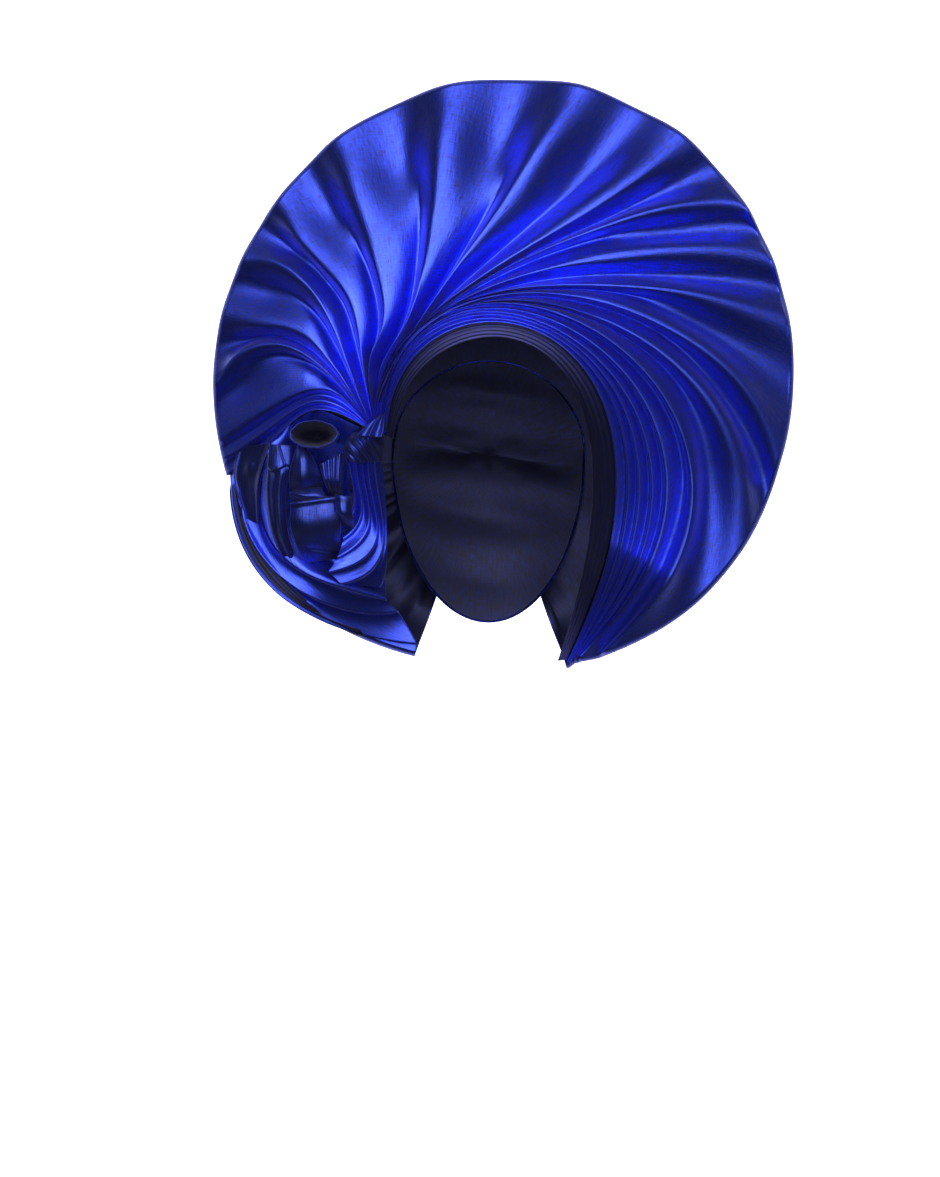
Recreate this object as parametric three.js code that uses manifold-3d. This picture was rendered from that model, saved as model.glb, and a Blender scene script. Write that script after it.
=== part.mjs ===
// Tied head wrap: one long ribbed cloth, pleated, fanned into a disc and knotted at the left temple.
// Millimetres, +Z up, -Y is the front. The origin is the middle of the head at the height of the brow.
import * as THREE from 'three';
import { mergeVertices } from 'three/addons/utils/BufferGeometryUtils.js';
import Module from 'manifold-3d';

const wasm = await Module();
wasm.setup();

// Driving dimensions
const WALL = 2.4;               // thickness of the layered cloth
const GAP = 0.35;               // clearance between two pieces that lie on each other
const FAN_RADIUS = 191;         // from the middle of the fan to its rim
const FAN_CENTRE = { x: 9, z: 0 };
const RIM_ROLL = 13;            // radius of the soft turn at the rim
const RIM_INSET = 3;            // where the front sheet ends and the turn begins
const FACE = { x: 0, z: -61, halfWidth: 66, above: 78, below: 128 };
const NAPE = { x: 0, z: -45, halfWidth: 64, above: 62, below: 112 };
const BROW_DEPTH = -88;         // y of the opening's edge over the forehead
const TEMPLE_DEPTH = -22;       // y of the opening's edge beside the eyes
const JAW_DEPTH = 42;           // y of the opening's edge under the ears
const BACK_DEPTH = 84;          // y of the edge round the back of the head
const NAPE_STEP = 14;           // how far that edge comes forward again at the nape
const RIM_DEPTH = 2;            // y of the rim beside the temples
const RIM_LEAN = 26;            // how far the rim leans forward from there to its top
const FRONT_PUFF = 24;          // how far the front sheet stands out between brow and rim
const BACK_PUFF = 18;
const HEAD_BACK_DEPTH = 100;    // y of the outermost point of the wrap behind the head
const RIM_RELIEF = -0.12;       // part of a fold's height that moves the rim outwards
const RIM_WAVE = 0.8;           // part of a fold's height that moves the rim forwards
const BROAD_EASE = 0.25;        // part of its height that a wide fold loses
const LOBE_START = 0.55;        // part of the way to the rim from which wide folds turn into round lobes
const PACKED_PITCH = 14;        // pitch at which a fold has half its full height
const STACK_STEP = 3.8;         // how far the first pleats stand over the band on the brow
const STACK_PLEATS = 4;         // pleats over which that step fades out

// Places where the rim swells or dips, in degrees round the fan from +X
const RIM_SWELLS = [
  { at: 58, spread: 34, rise: 5 },
  { at: 145, spread: 24, rise: -4 },
  { at: 226, spread: 26, rise: 8 },
  { at: 304, spread: 26, rise: 8 },
];

// Ridges of the pleats, from the brow outwards and round the fan against the clock.
// Each leaves the knot, passes over two places (x, z) and ends at the rim at an angle in degrees.
// rise is its height over the next valley, low is where that valley lies on the way to the next ridge.
const FAN_RIDGES = [
  { over: [[-9, 25], [70, -20]], rim: -77, rise: 9, low: 0.7 },
  { over: [[-8, 27], [77, -22]], rim: -76.5, rise: 12, low: 0.72 },
  { over: [[-3, 30], [85, -27]], rim: -76, rise: 12, low: 0.72 },
  { over: [[1, 32], [94, -32]], rim: -75.5, rise: 13, low: 0.74 },
  { over: [[5, 34], [103, -32]], rim: -74.5, rise: 16, low: 0.76 },
  { over: [[7, 37], [116, -28]], rim: -69, rise: 26, low: 0.72 },
  { over: [[-8, 37], [110, 8]], rim: -34, rise: 22, low: 0.74 },
  { over: [[-8, 39], [109, 26]], rim: -17, rise: 24, low: 0.8 },
  { over: [[-9, 41], [127, 47]], rim: 11, rise: 26, low: 0.45 },
  { over: [[-17, 40], [112, 75]], rim: 23, rise: 18, low: 0.72 },
  { over: [[-28, 36], [92, 96]], rim: 34, rise: 24, low: 0.4 },
  { over: [[-40, 28], [46, 87]], rim: 53, rise: 26, low: 0.45 },
  { over: [[-55, 10], [0, 89]], rim: 75, rise: 36, low: 0.24 },
  { over: [[-64, 8], [-45, 45]], rim: 101, rise: 34, low: 0.28 },
  { over: [[-73, 12], [-67, 42]], rim: 126, rise: 32, low: 0.3 },
  { over: [[-86, 32], [-100, 57]], rim: 143, rise: 26, low: 0.32 },
  { over: [[-94, 13], [-117, 55]], rim: 156, rise: 28, low: 0.35 },
  { over: [[-105, 9], [-130, 26]], rim: 168, rise: 20, low: 0.45 },
  { over: [[-110, 4], [-145, 18]], rim: 181, rise: 28, low: 0.2 },
  { over: [[-100, -14], [-127, -17]], rim: 192.5, rise: 12, low: 0.45 },
  { over: [[-108, -20], [-134, -30]], rim: 196, rise: 12, low: 0.5 },
  { over: [[-111, -25], [-134, -38]], rim: 199, rise: 10, low: 0.5 },
];
const PACKED_RIDGES = 5;        // ridges that stay packed all the way to the nape
const KNOT_START = { x: -66, z: -41 };
const KNOT_END = { x: -76, z: -38 };

// Helpers
const mix = (a, b, k) => a + (b - a) * k;
const clamp01 = (k) => Math.min(1, Math.max(0, k));
const smooth = (k) => clamp01(k) ** 2 * (3 - 2 * clamp01(k));
const radians = (degrees) => (degrees * Math.PI) / 180;

// Radius of the fan's rim at an angle in radians
function rimRadius(angle) {
  let radius = FAN_RADIUS;
  for (const { at, spread, rise } of RIM_SWELLS) {
    const away = Math.atan2(Math.sin(angle - radians(at)), Math.cos(angle - radians(at)));
    radius += rise * Math.exp(-((away / radians(spread)) ** 2));
  }
  return radius;
}

// Radius of an egg-shaped opening at an angle in radians
function eggRadius(egg, angle) {
  const height = Math.sin(angle) > 0 ? egg.above : egg.below;
  return 1 / Math.hypot(Math.cos(angle) / egg.halfWidth, Math.sin(angle) / height);
}

// Depth of the opening's edge round the face at an angle in radians
function edgeDepth(angle) {
  const depth = TEMPLE_DEPTH + (BROW_DEPTH - TEMPLE_DEPTH) * Math.sin(angle);
  return Math.min(JAW_DEPTH, depth);
}

// Depth of the front sheet without its folds at a place (x, z)
function frontDepth(x, z) {
  const faceAngle = Math.atan2(z - FACE.z, x - FACE.x);
  const fromFace = Math.hypot(x - FACE.x, z - FACE.z) - eggRadius(FACE, faceAngle);
  const rimAngle = Math.atan2(z - FAN_CENTRE.z, x - FAN_CENTRE.x);
  const toRim = rimRadius(rimAngle) - RIM_INSET - Math.hypot(x - FAN_CENTRE.x, z - FAN_CENTRE.z);
  const reach = Math.max(0, fromFace) + Math.max(0, toRim);
  const part = reach > 0 ? Math.max(0, fromFace) / reach : 0;
  const low = smooth((-Math.sin(faceAngle) - 0.5) / 0.45);
  const edge = edgeDepth(faceAngle);
  const rim = mix(RIM_DEPTH - RIM_LEAN * Math.max(0, Math.sin(faceAngle)), JAW_DEPTH, low);
  const puff = FRONT_PUFF * (1 - 0.4 * Math.max(0, Math.sin(faceAngle))) * (1 - low);
  return mix(edge, rim, part ** 0.9) - puff * Math.sin(Math.PI * part ** 0.75);
}

// Curve through four places at equal steps of its parameter
function curveThrough(places) {
  const [a, b, c, d] = places.map((place) => new THREE.Vector2(...place));
  const leave = a.clone().multiplyScalar(-5).addScaledVector(b, 18).addScaledVector(c, -9);
  leave.addScaledVector(d, 2).divideScalar(6);
  const arrive = a.clone().multiplyScalar(2).addScaledVector(b, -9).addScaledVector(c, 18);
  arrive.addScaledVector(d, -5).divideScalar(6);
  return new THREE.CubicBezierCurve(a, leave, arrive, d);
}

function rimPlace(degrees) {
  const angle = radians(degrees);
  const radius = rimRadius(angle) - RIM_INSET;
  return [FAN_CENTRE.x + radius * Math.cos(angle), FAN_CENTRE.z + radius * Math.sin(angle)];
}

const ridgeCurves = FAN_RIDGES.map((row, i) => {
  const k = i / (FAN_RIDGES.length - 1);
  const start = [mix(KNOT_START.x, KNOT_END.x, k), mix(KNOT_START.z, KNOT_END.z, k)];
  return curveThrough([start, ...row.over, rimPlace(row.rim)]);
});

// Place between two places of neighbouring ridges, measured round the middle of the fan
function roundBlend(a, b, part) {
  const bearing = (place) => {
    const angle = Math.atan2(place.y - FAN_CENTRE.z, place.x - FAN_CENTRE.x);
    return angle < -Math.PI / 2 ? angle + 2 * Math.PI : angle;
  };
  const reach = (place) => Math.hypot(place.x - FAN_CENTRE.x, place.y - FAN_CENTRE.z);
  const angle = mix(bearing(a), bearing(b), part);
  const radius = mix(reach(a), reach(b), part);
  return new THREE.Vector2(
    FAN_CENTRE.x + radius * Math.cos(angle), FAN_CENTRE.z + radius * Math.sin(angle));
}

// Height of a fold between two ridges: 1 on a ridge, 0 on the valley's floor at low.
// Narrow folds are sharp on the ridge, wide ones are round there and sharp in the valley,
// and near the rim the wide ones are round in both.
function foldProfile(part, low, pitch, along) {
  const turn = part < low ? part / low : (1 - part) / (1 - low);
  const narrow = Math.sin((turn * Math.PI) / 2) ** 1.3;
  const wide = smooth((pitch - 8) / 16);
  const lobe = wide * smooth((along - LOBE_START) / 0.3);
  return mix(1 - mix(narrow, turn ** 1.8, wide), Math.cos(Math.PI * part) ** 2, lobe);
}

// Front sheet: column runs over the ridges, along from the knot (0) to the rim (1)
function fanFront(column, along) {
  const i = Math.min(Math.floor(column), FAN_RIDGES.length - 2);
  const part = column - i;
  const a = ridgeCurves[i].getPointAt(along);
  const b = ridgeCurves[i + 1].getPointAt(along);
  const pitch = a.distanceTo(b);
  const place = roundBlend(a, b, part);
  const rise = mix(FAN_RIDGES[i].rise, FAN_RIDGES[i + 1].rise, part);
  const ease = 1 - BROAD_EASE * smooth((pitch - 12) / 30);
  const full = ((rise * pitch) / (pitch + PACKED_PITCH)) * ease;
  const nearRim = smooth((along - 0.7) / 0.3);
  const step = STACK_STEP * (1 - smooth(column / STACK_PLEATS));
  const height = full * (foldProfile(part, FAN_RIDGES[i].low, pitch, along) - 0.5);
  const outward = new THREE.Vector2(place.x - FAN_CENTRE.x, place.y - FAN_CENTRE.z).normalize();
  const tilt = (Math.PI / 4) * smooth((along - 0.6) / 0.4);
  const forward = step * Math.cos(tilt) + height * mix(1, RIM_WAVE, nearRim);
  const sideways = (step + height * mix(1, RIM_RELIEF, nearRim)) * Math.sin(tilt);
  const base = new THREE.Vector3(
    place.x + outward.x * sideways,
    frontDepth(place.x, place.y) - forward,
    place.y + outward.y * sideways);
  const normal = new THREE.Vector3(
    outward.x * Math.sin(tilt), -Math.cos(tilt), outward.y * Math.sin(tilt));
  return { base, normal, height: 0, outward };
}

// The turn at the rim, from the front sheet (0) to the back sheet (1)
const TURN_START = Math.PI / 4;
const TURN_END = Math.PI * 0.86;
function rimTurn(front, along) {
  const angle = mix(TURN_START, TURN_END, along);
  const out = RIM_ROLL * (Math.sin(angle) - Math.sin(TURN_START));
  const back = RIM_ROLL * (Math.cos(TURN_START) - Math.cos(angle));
  const base = front.base.clone();
  base.x += front.outward.x * out;
  base.z += front.outward.y * out;
  base.y += back;
  const normal = new THREE.Vector3(
    front.outward.x * Math.sin(angle), -Math.cos(angle), front.outward.y * Math.sin(angle));
  return { base, normal, height: front.height * mix(1, 0.8, along), outward: front.outward };
}

// Depth of the edge round the back of the head at an angle in radians
function backEdgeDepth(angle) {
  return BACK_DEPTH - NAPE_STEP * smooth(-Math.sin(angle));
}

// Edge round the back of the head at the same bearing as a place on the rim
function napePlace(x, z) {
  const angle = Math.atan2(z - NAPE.z, x - NAPE.x);
  const radius = eggRadius(NAPE, angle);
  const depth = backEdgeDepth(angle);
  return new THREE.Vector3(NAPE.x + radius * Math.cos(angle), depth, NAPE.z + radius * Math.sin(angle));
}

// Back sheet, from the turn at the rim (0) to the edge round the back of the head (1)
function backSheet(turn, along) {
  const end = napePlace(turn.base.x, turn.base.z);
  const base = turn.base.clone().lerp(end, along);
  base.y += BACK_PUFF * Math.sin(Math.PI * along);
  const normal = turn.normal.clone().lerp(new THREE.Vector3(0, 1, 0), smooth(along)).normalize();
  return { base, normal, height: turn.height * (1 - 0.6 * along), outward: turn.outward };
}

// Whole way of one column: front sheet, turn and back sheet
function fanPath(column, step, steps) {
  if (step <= steps.front) return fanFront(column, step / steps.front);
  const front = fanFront(column, 1);
  if (step <= steps.front + steps.turn) return rimTurn(front, (step - steps.front) / steps.turn);
  return backSheet(rimTurn(front, 1), (step - steps.front - steps.turn) / steps.back);
}

// Closed solid from places and faces, turned so that its faces point outwards
function solidGeometry(positions, faces) {
  const corner = (k) => new THREE.Vector3().fromArray(positions, 3 * k);
  let volume = 0;
  for (let k = 0; k < faces.length; k += 3) {
    volume += corner(faces[k]).dot(corner(faces[k + 1]).cross(corner(faces[k + 2])));
  }
  const geometry = new THREE.BufferGeometry();
  geometry.setAttribute('position', new THREE.Float32BufferAttribute(positions, 3));
  geometry.setIndex(volume < 0 ? [...faces].reverse() : faces);
  return mergeVertices(geometry, 1e-4);
}

// Grid with its four edges moved out by a distance
function growEdges(grid, distance) {
  const grown = grid.map((row) => row.map((place) => place.clone()));
  const push = (edge, from, next) => {
    const way = from.clone().sub(next);
    if (way.length() > 1e-6) edge.addScaledVector(way.normalize(), distance);
  };
  grid.forEach((row, r) => {
    push(grown[r][0], row[0], row[1]);
    push(grown[r].at(-1), row.at(-1), row.at(-2));
  });
  grid[0].forEach((place, c) => push(grown[0][c], place, grid[1][c]));
  grid.at(-1).forEach((place, c) => push(grown.at(-1)[c], place, grid.at(-2)[c]));
  return grown;
}

// Closed wall between an outer grid of places and the same grid moved inwards
function wallBetween(outerGrid, innerGrid, extra) {
  const outer = growEdges(outerGrid, extra);
  const inner = growEdges(innerGrid, extra);
  const rows = outer.length;
  const columns = outer[0].length;
  const positions = [];
  for (const grid of [outer, inner]) {
    for (const row of grid) {
      for (const place of row) positions.push(place.x, place.y, place.z);
    }
  }
  const at = (side, row, column) => side * rows * columns + row * columns + column;
  const faces = [];
  const quad = (a, b, c, d) => faces.push(a, c, b, a, d, c);
  for (let row = 0; row < rows - 1; row += 1) {
    for (let column = 0; column < columns - 1; column += 1) {
      quad(at(0, row, column), at(0, row, column + 1), at(0, row + 1, column + 1), at(0, row + 1, column));
      quad(at(1, row, column), at(1, row + 1, column), at(1, row + 1, column + 1), at(1, row, column + 1));
    }
  }
  for (let column = 0; column < columns - 1; column += 1) {
    quad(at(1, 0, column), at(1, 0, column + 1), at(0, 0, column + 1), at(0, 0, column));
    const last = rows - 1;
    quad(at(0, last, column), at(0, last, column + 1), at(1, last, column + 1), at(1, last, column));
  }
  for (let row = 0; row < rows - 1; row += 1) {
    quad(at(0, row, 0), at(0, row + 1, 0), at(1, row + 1, 0), at(1, row, 0));
    const last = columns - 1;
    quad(at(1, row, last), at(1, row + 1, last), at(0, row + 1, last), at(0, row, last));
  }
  return solidGeometry(positions, faces);
}

// Fan, with extra thickness on both faces where it serves as a cutter
function fanGeometry(extra = 0) {
  const steps = { front: 12, turn: 3, back: 3 };
  const columns = [];
  for (let i = 0; i < FAN_RIDGES.length - 1; i += 1) {
    const { low } = FAN_RIDGES[i];
    columns.push(i, i + low);
    if (i >= PACKED_RIDGES) columns.push(i + (1 + low) / 2);
  }
  columns.push(FAN_RIDGES.length - 1);
  const outer = [];
  const inner = [];
  for (let step = 0; step <= steps.front + steps.turn + steps.back; step += 1) {
    const samples = columns.map((column) => fanPath(column, step, steps));
    outer.push(samples.map((s) => s.base.clone().addScaledVector(s.normal, s.height + extra)));
    inner.push(samples.map((s) => s.base.clone().addScaledVector(s.normal, s.height - WALL - extra)));
  }
  return wallBetween(outer, inner, extra);
}

// Folds of the lower sweep, from under the rosette out to the rim.
// Each runs from its upper end over two places (x, z) to its lower end behind the jaw.
// lift is its height over the front sheet's depth, valley the drop before the next fold.
const SWEEP_FOLDS = [
  { from: [-82, -36], over: [[-91, -72], [-86, -102]], to: [-71, -122], lift: -13, valley: 2 },
  { from: [-112, -22], over: [[-121, -82], [-104, -117]], to: [-70, -136], lift: -15, valley: 2 },
  { from: [-139, -32], over: [[-147, -102], [-112, -133]], to: [-69, -147], lift: 7, valley: 9 },
  { from: [-158, -40], over: [[-156, -108], [-112, -147]], to: [-62, -154], lift: 4, valley: 9 },
  { from: [-168, -46], over: [[-155, -122], [-106, -162]], to: [-49, -176], lift: 3, valley: 8 },
];
const SWEEP_RIM = { from: 196, to: 252 };
const SWEEP_TUCK = 5;           // how far the sweep's upper end lies inside the fan
const SWEEP_EMERGE = 0.14;      // part of its length on which it comes out from inside the fan
const sweepCurves = SWEEP_FOLDS.map(({ from, over, to }) => curveThrough([from, ...over, to]));

// Place on the sweep's rim at a part of its length
function sweepRim(along) {
  const place = new THREE.Vector2(...rimPlace(mix(SWEEP_RIM.from, SWEEP_RIM.to, along)));
  const outward = place.clone().sub(new THREE.Vector2(FAN_CENTRE.x, FAN_CENTRE.z)).normalize();
  return { place, outward };
}

// Front of the sweep: row runs from the innermost fold (0) out to the rim (5)
function sweepFront(row, along) {
  const i = Math.min(Math.floor(row), SWEEP_FOLDS.length - 1);
  const part = row - i;
  const rim = sweepRim(along);
  const onCurve = (k) => (k < sweepCurves.length ? sweepCurves[k].getPointAt(along) : rim.place);
  const place = onCurve(i).clone().lerp(onCurve(i + 1), part);
  const nextLift = i + 1 < SWEEP_FOLDS.length ? SWEEP_FOLDS[i + 1].lift : 0;
  const pitch = onCurve(i).distanceTo(onCurve(i + 1));
  const squeeze = pitch / (pitch + PACKED_PITCH / 2);
  const hidden = 1 - smooth(along / SWEEP_EMERGE);
  const lift = mix(SWEEP_FOLDS[i].lift, nextLift, smooth(part));
  const drop = SWEEP_FOLDS[i].valley * squeeze * Math.sin(Math.PI * part) ** 2;
  const open = mix(lift - drop, Math.min(lift, 0) * 0.5, hidden);
  const height = open * (1 - 0.5 * smooth((along - 0.7) / 0.3)) - SWEEP_TUCK * hidden;
  const tilt = (Math.PI / 4) * smooth((row - 3) / 2);
  const normal = new THREE.Vector3(
    rim.outward.x * Math.sin(tilt), -Math.cos(tilt), rim.outward.y * Math.sin(tilt));
  const base = new THREE.Vector3(place.x, frontDepth(place.x, place.y), place.y);
  return { base, normal, height, outward: rim.outward };
}

function sweepGeometry(extra = 0) {
  const rows = [0, 0.5, 1, 1.35, 1.7, 2, 2.25, 2.5, 2.75, 3, 3.33, 3.67, 4, 4.33, 4.67, 5];
  const stations = 12;
  const turnSteps = 4;
  const backSteps = 3;
  const outer = [];
  const inner = [];
  for (let k = 0; k < rows.length + turnSteps + backSteps; k += 1) {
    const samples = [];
    for (let station = 0; station <= stations; station += 1) {
      const along = station / stations;
      const edge = sweepFront(5, along);
      const over = k - rows.length + 1;
      if (over <= 0) samples.push(sweepFront(rows[k], along));
      else if (over <= turnSteps) samples.push(rimTurn(edge, over / turnSteps));
      else samples.push(backSheet(rimTurn(edge, 1), (over - turnSteps) / backSteps));
    }
    outer.push(samples.map((s) => s.base.clone().addScaledVector(s.normal, s.height + extra)));
    inner.push(samples.map((s) => s.base.clone().addScaledVector(s.normal, s.height - WALL - extra)));
  }
  return wallBetween(outer, inner, extra);
}

// Narrow pleats that hang from the knot down the temple and turn in under the rosette.
// The first lies at the face, the last deepest in the rosette.
const TEMPLE_PLEATS = [
  { from: [-70, -56], over: [[-68, -86], [-68, -118]], to: [-73, -138], lift: 3 },
  { from: [-74, -56], over: [[-71, -88], [-72, -118]], to: [-97, -136], lift: 8 },
  { from: [-78, -56], over: [[-75, -86], [-76, -112]], to: [-105, -128], lift: 8 },
  { from: [-82, -56], over: [[-79, -82], [-80, -102]], to: [-99, -119], lift: 7 },
  { from: [-86, -56], over: [[-84, -76], [-84, -93]], to: [-95, -107], lift: 6 },
  { from: [-90, -56], over: [[-89, -68], [-88, -82]], to: [-93, -94], lift: 4 },
];
const PLEAT_VALLEY = 5;
const pleatCurves = TEMPLE_PLEATS.map(({ from, over, to }) => curveThrough([from, ...over, to]));

function pleatPlace(column, along, depth) {
  const i = Math.min(Math.floor(column), TEMPLE_PLEATS.length - 2);
  const part = column - i;
  const place = pleatCurves[i].getPointAt(along).lerp(pleatCurves[i + 1].getPointAt(along), part);
  const lift = mix(TEMPLE_PLEATS[i].lift, TEMPLE_PLEATS[i + 1].lift, part);
  const drop = PLEAT_VALLEY * Math.sin(Math.PI * part);
  const fade = mix(0.5, 1, smooth(along / 0.25));
  const top = frontDepth(place.x, place.y) - lift + drop * fade;
  return new THREE.Vector3(place.x, top + depth, place.y);
}

function pleatGeometry(extra = 0) {
  const grid = (depth) => {
    const rows = [];
    for (let step = 0; step <= 14; step += 1) {
      const row = [];
      for (let column = 0; column < TEMPLE_PLEATS.length - 0.9; column += 0.5) {
        row.push(pleatPlace(column, step / 14, depth));
      }
      rows.push(row);
    }
    return rows;
  };
  return wallBetween(grid(-extra), grid(WALL + extra), extra);
}

// Plain band on the brow: it follows the opening's edge and tucks in under the first pleat
const BAND_EDGE = curveThrough([[-62, -43], [-13, 15], [56, -20], rimPlace(-78.5)]);
const BAND_RELIEF = 1.5;         // height of the band over the front sheet's depth
const BAND_TUCK = 1.02;         // how far it reaches past the first ridge, 1 being the ridge itself
function bandPlace(across, along, depth) {
  const edge = BAND_EDGE.getPointAt(along);
  const ridge = ridgeCurves[0].getPointAt(along);
  const place = edge.clone().lerp(ridge, across * BAND_TUCK);
  return new THREE.Vector3(place.x, frontDepth(place.x, place.y) - BAND_RELIEF + depth, place.y);
}

function bandGeometry(extra = 0) {
  const grid = (depth) => {
    const rows = [];
    for (let step = 0; step <= 30; step += 1) {
      rows.push([0, 0.33, 0.67, 1].map((across) => bandPlace(across, step / 30, depth)));
    }
    return rows;
  };
  return wallBetween(grid(-extra), grid(WALL + extra), extra);
}

// Wrap over the back of the head: a shallow dome that tucks in under the edges of the fan and the sweep
const DOME_OVERLAP = 1.05;
const DOME_FOLDS = 5;
const DOME_RELIEF = 2.5;
const DOME_DROP = 4.6;           // how far its edge lies under the edges that cover it
function domePlace(turn, out, depth) {
  const angle = turn * 2 * Math.PI;
  const radius = eggRadius(NAPE, angle) * out * DOME_OVERLAP;
  const x = NAPE.x + radius * Math.cos(angle);
  const z = NAPE.z + radius * Math.sin(angle);
  const edge = backEdgeDepth(angle);
  const crown = (HEAD_BACK_DEPTH - edge) * (1 - out ** 2);
  const fold = DOME_RELIEF * Math.cos((z / NAPE.below) * Math.PI * DOME_FOLDS + x * 0.02) * (1 - out ** 4);
  return new THREE.Vector3(x, edge + crown + fold - DOME_DROP - depth, z);
}

function domeGeometry() {
  const turns = 26;
  const rings = [0.2, 0.4, 0.6, 0.8, 1];
  const positions = [];
  for (const depth of [0, WALL]) {
    positions.push(...domePlace(0, 0, depth));
    for (const out of rings) {
      for (let k = 0; k < turns; k += 1) positions.push(...domePlace(k / turns, out, depth));
    }
  }
  const side = 1 + rings.length * turns;
  const at = (layer, ring, k) => layer * side + 1 + ring * turns + (k % turns);
  const faces = [];
  for (let k = 0; k < turns; k += 1) {
    faces.push(0, at(0, 0, k + 1), at(0, 0, k), side, at(1, 0, k), at(1, 0, k + 1));
    for (let ring = 0; ring < rings.length - 1; ring += 1) {
      const near = at(0, ring, k);
      faces.push(near, at(0, ring, k + 1), at(0, ring + 1, k + 1));
      faces.push(near, at(0, ring + 1, k + 1), at(0, ring + 1, k));
      const far = at(1, ring, k);
      faces.push(far, at(1, ring + 1, k + 1), at(1, ring, k + 1));
      faces.push(far, at(1, ring + 1, k), at(1, ring + 1, k + 1));
    }
    const last = rings.length - 1;
    faces.push(at(0, last, k), at(0, last, k + 1), at(1, last, k + 1));
    faces.push(at(0, last, k), at(1, last, k + 1), at(1, last, k));
  }
  return solidGeometry(positions, faces);
}

// Small folded pieces of the rosette and the knot. Each row is a section from its left end to its
// right end (x, y, z), bulging forward by crown; the sections follow each other down the piece.
const FOLDED_PIECES = {
  knot_wrap: [
    { left: [-88, -44, -40], right: [-70, -46, -37], crown: 4 },
    { left: [-92, -42, -45], right: [-68, -44, -42], crown: 12 },
    { left: [-93, -40, -52], right: [-68, -38, -49], crown: 14 },
    { left: [-91, -36, -59], right: [-70, -34, -57], crown: 8 },
  ],
  rosette_wing: [
    { left: [-166, -4, -47], right: [-141, -27, -45], crown: 7 },
    { left: [-169, 1, -66], right: [-149, -21, -70], crown: 10 },
    { left: [-161, 0, -92], right: [-151, -8, -97], crown: 6 },
  ],
  rosette_strap: [
    { left: [-141, -40, -47], right: [-127, -44, -48], crown: 3 },
    { left: [-142, -44, -62], right: [-128, -48, -63], crown: 3 },
    { left: [-144, -36, -78], right: [-131, -40, -78], crown: 5 },
    { left: [-142, -24, -102], right: [-131, -28, -102], crown: 5 },
    { left: [-135, -5, -121], right: [-127, -7, -120], crown: 3 },
  ],
  rosette_triangle: [
    { left: [-123, -44, -47], right: [-119, -44, -46], crown: 1 },
    { left: [-127, -44, -60], right: [-112, -46, -58], crown: 4 },
    { left: [-129, -36, -73], right: [-108, -40, -70], crown: 6 },
    { left: [-127, -7, -81], right: [-108, -11, -79], crown: 4 },
  ],
  rosette_lip: [
    { left: [-129, -34, -76], right: [-109, -38, -74], crown: 3 },
    { left: [-128, -34, -80], right: [-103, -36, -83], crown: 5 },
    { left: [-127, -6, -85], right: [-103, -9, -87], crown: 3 },
  ],
  rosette_pocket: [
    { left: [-128, -36, -84], right: [-97, -40, -80], crown: 5 },
    { left: [-128, -33, -100], right: [-96, -37, -98], crown: 6 },
    { left: [-122, -8, -122], right: [-99, -3, -119], crown: 4 },
  ],
  rosette_tab: [
    { left: [-99, -42, -79], right: [-89, -44, -81], crown: 2 },
    { left: [-98, -42, -90], right: [-88, -40, -95], crown: 3 },
    { left: [-97, -14, -97], right: [-89, -16, -101], crown: 1 },
  ],
  rosette_fan: [
    { left: [-109, -42, -60], right: [-94, -40, -52], crown: 3 },
    { left: [-106, -42, -71], right: [-95, -38, -73], crown: 4 },
    { left: [-104, -11, -79], right: [-96, -11, -82], crown: 2 },
  ],
  knot_tail: [
    { left: [-84, -60, -42], right: [-69, -56, -43], crown: 1 },
    { left: [-79, -58, -37], right: [-66, -55, -37], crown: 1 },
    { left: [-70, -56, -29], right: [-66, -55, -28], crown: 1 },
  ],
};

function foldedPlace(sections, down, across, depth) {
  const scaled = down * (sections.length - 1);
  const i = Math.min(Math.max(0, Math.floor(scaled)), sections.length - 2);
  const part = scaled - i;
  const end = (side) => {
    const next = new THREE.Vector3(...sections[i + 1][side]);
    return new THREE.Vector3(...sections[i][side]).lerp(next, part);
  };
  const crown = mix(sections[i].crown, sections[i + 1].crown, part);
  const place = end('left').lerp(end('right'), across);
  place.y += depth - crown * Math.sin(Math.PI * clamp01(across));
  return place;
}

const PIECE_WALL = 2;
function foldedGeometry(sections, extra = 0) {
  const rows = (sections.length - 1) * 3;
  const columns = 6;
  const grid = (depth) => {
    const lines = [];
    for (let row = 0; row <= rows; row += 1) {
      const line = [];
      for (let column = 0; column <= columns; column += 1) {
        line.push(foldedPlace(sections, row / rows, column / columns, depth));
      }
      lines.push(line);
    }
    return lines;
  };
  return wallBetween(grid(-extra), grid(PIECE_WALL + extra), extra);
}

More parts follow.
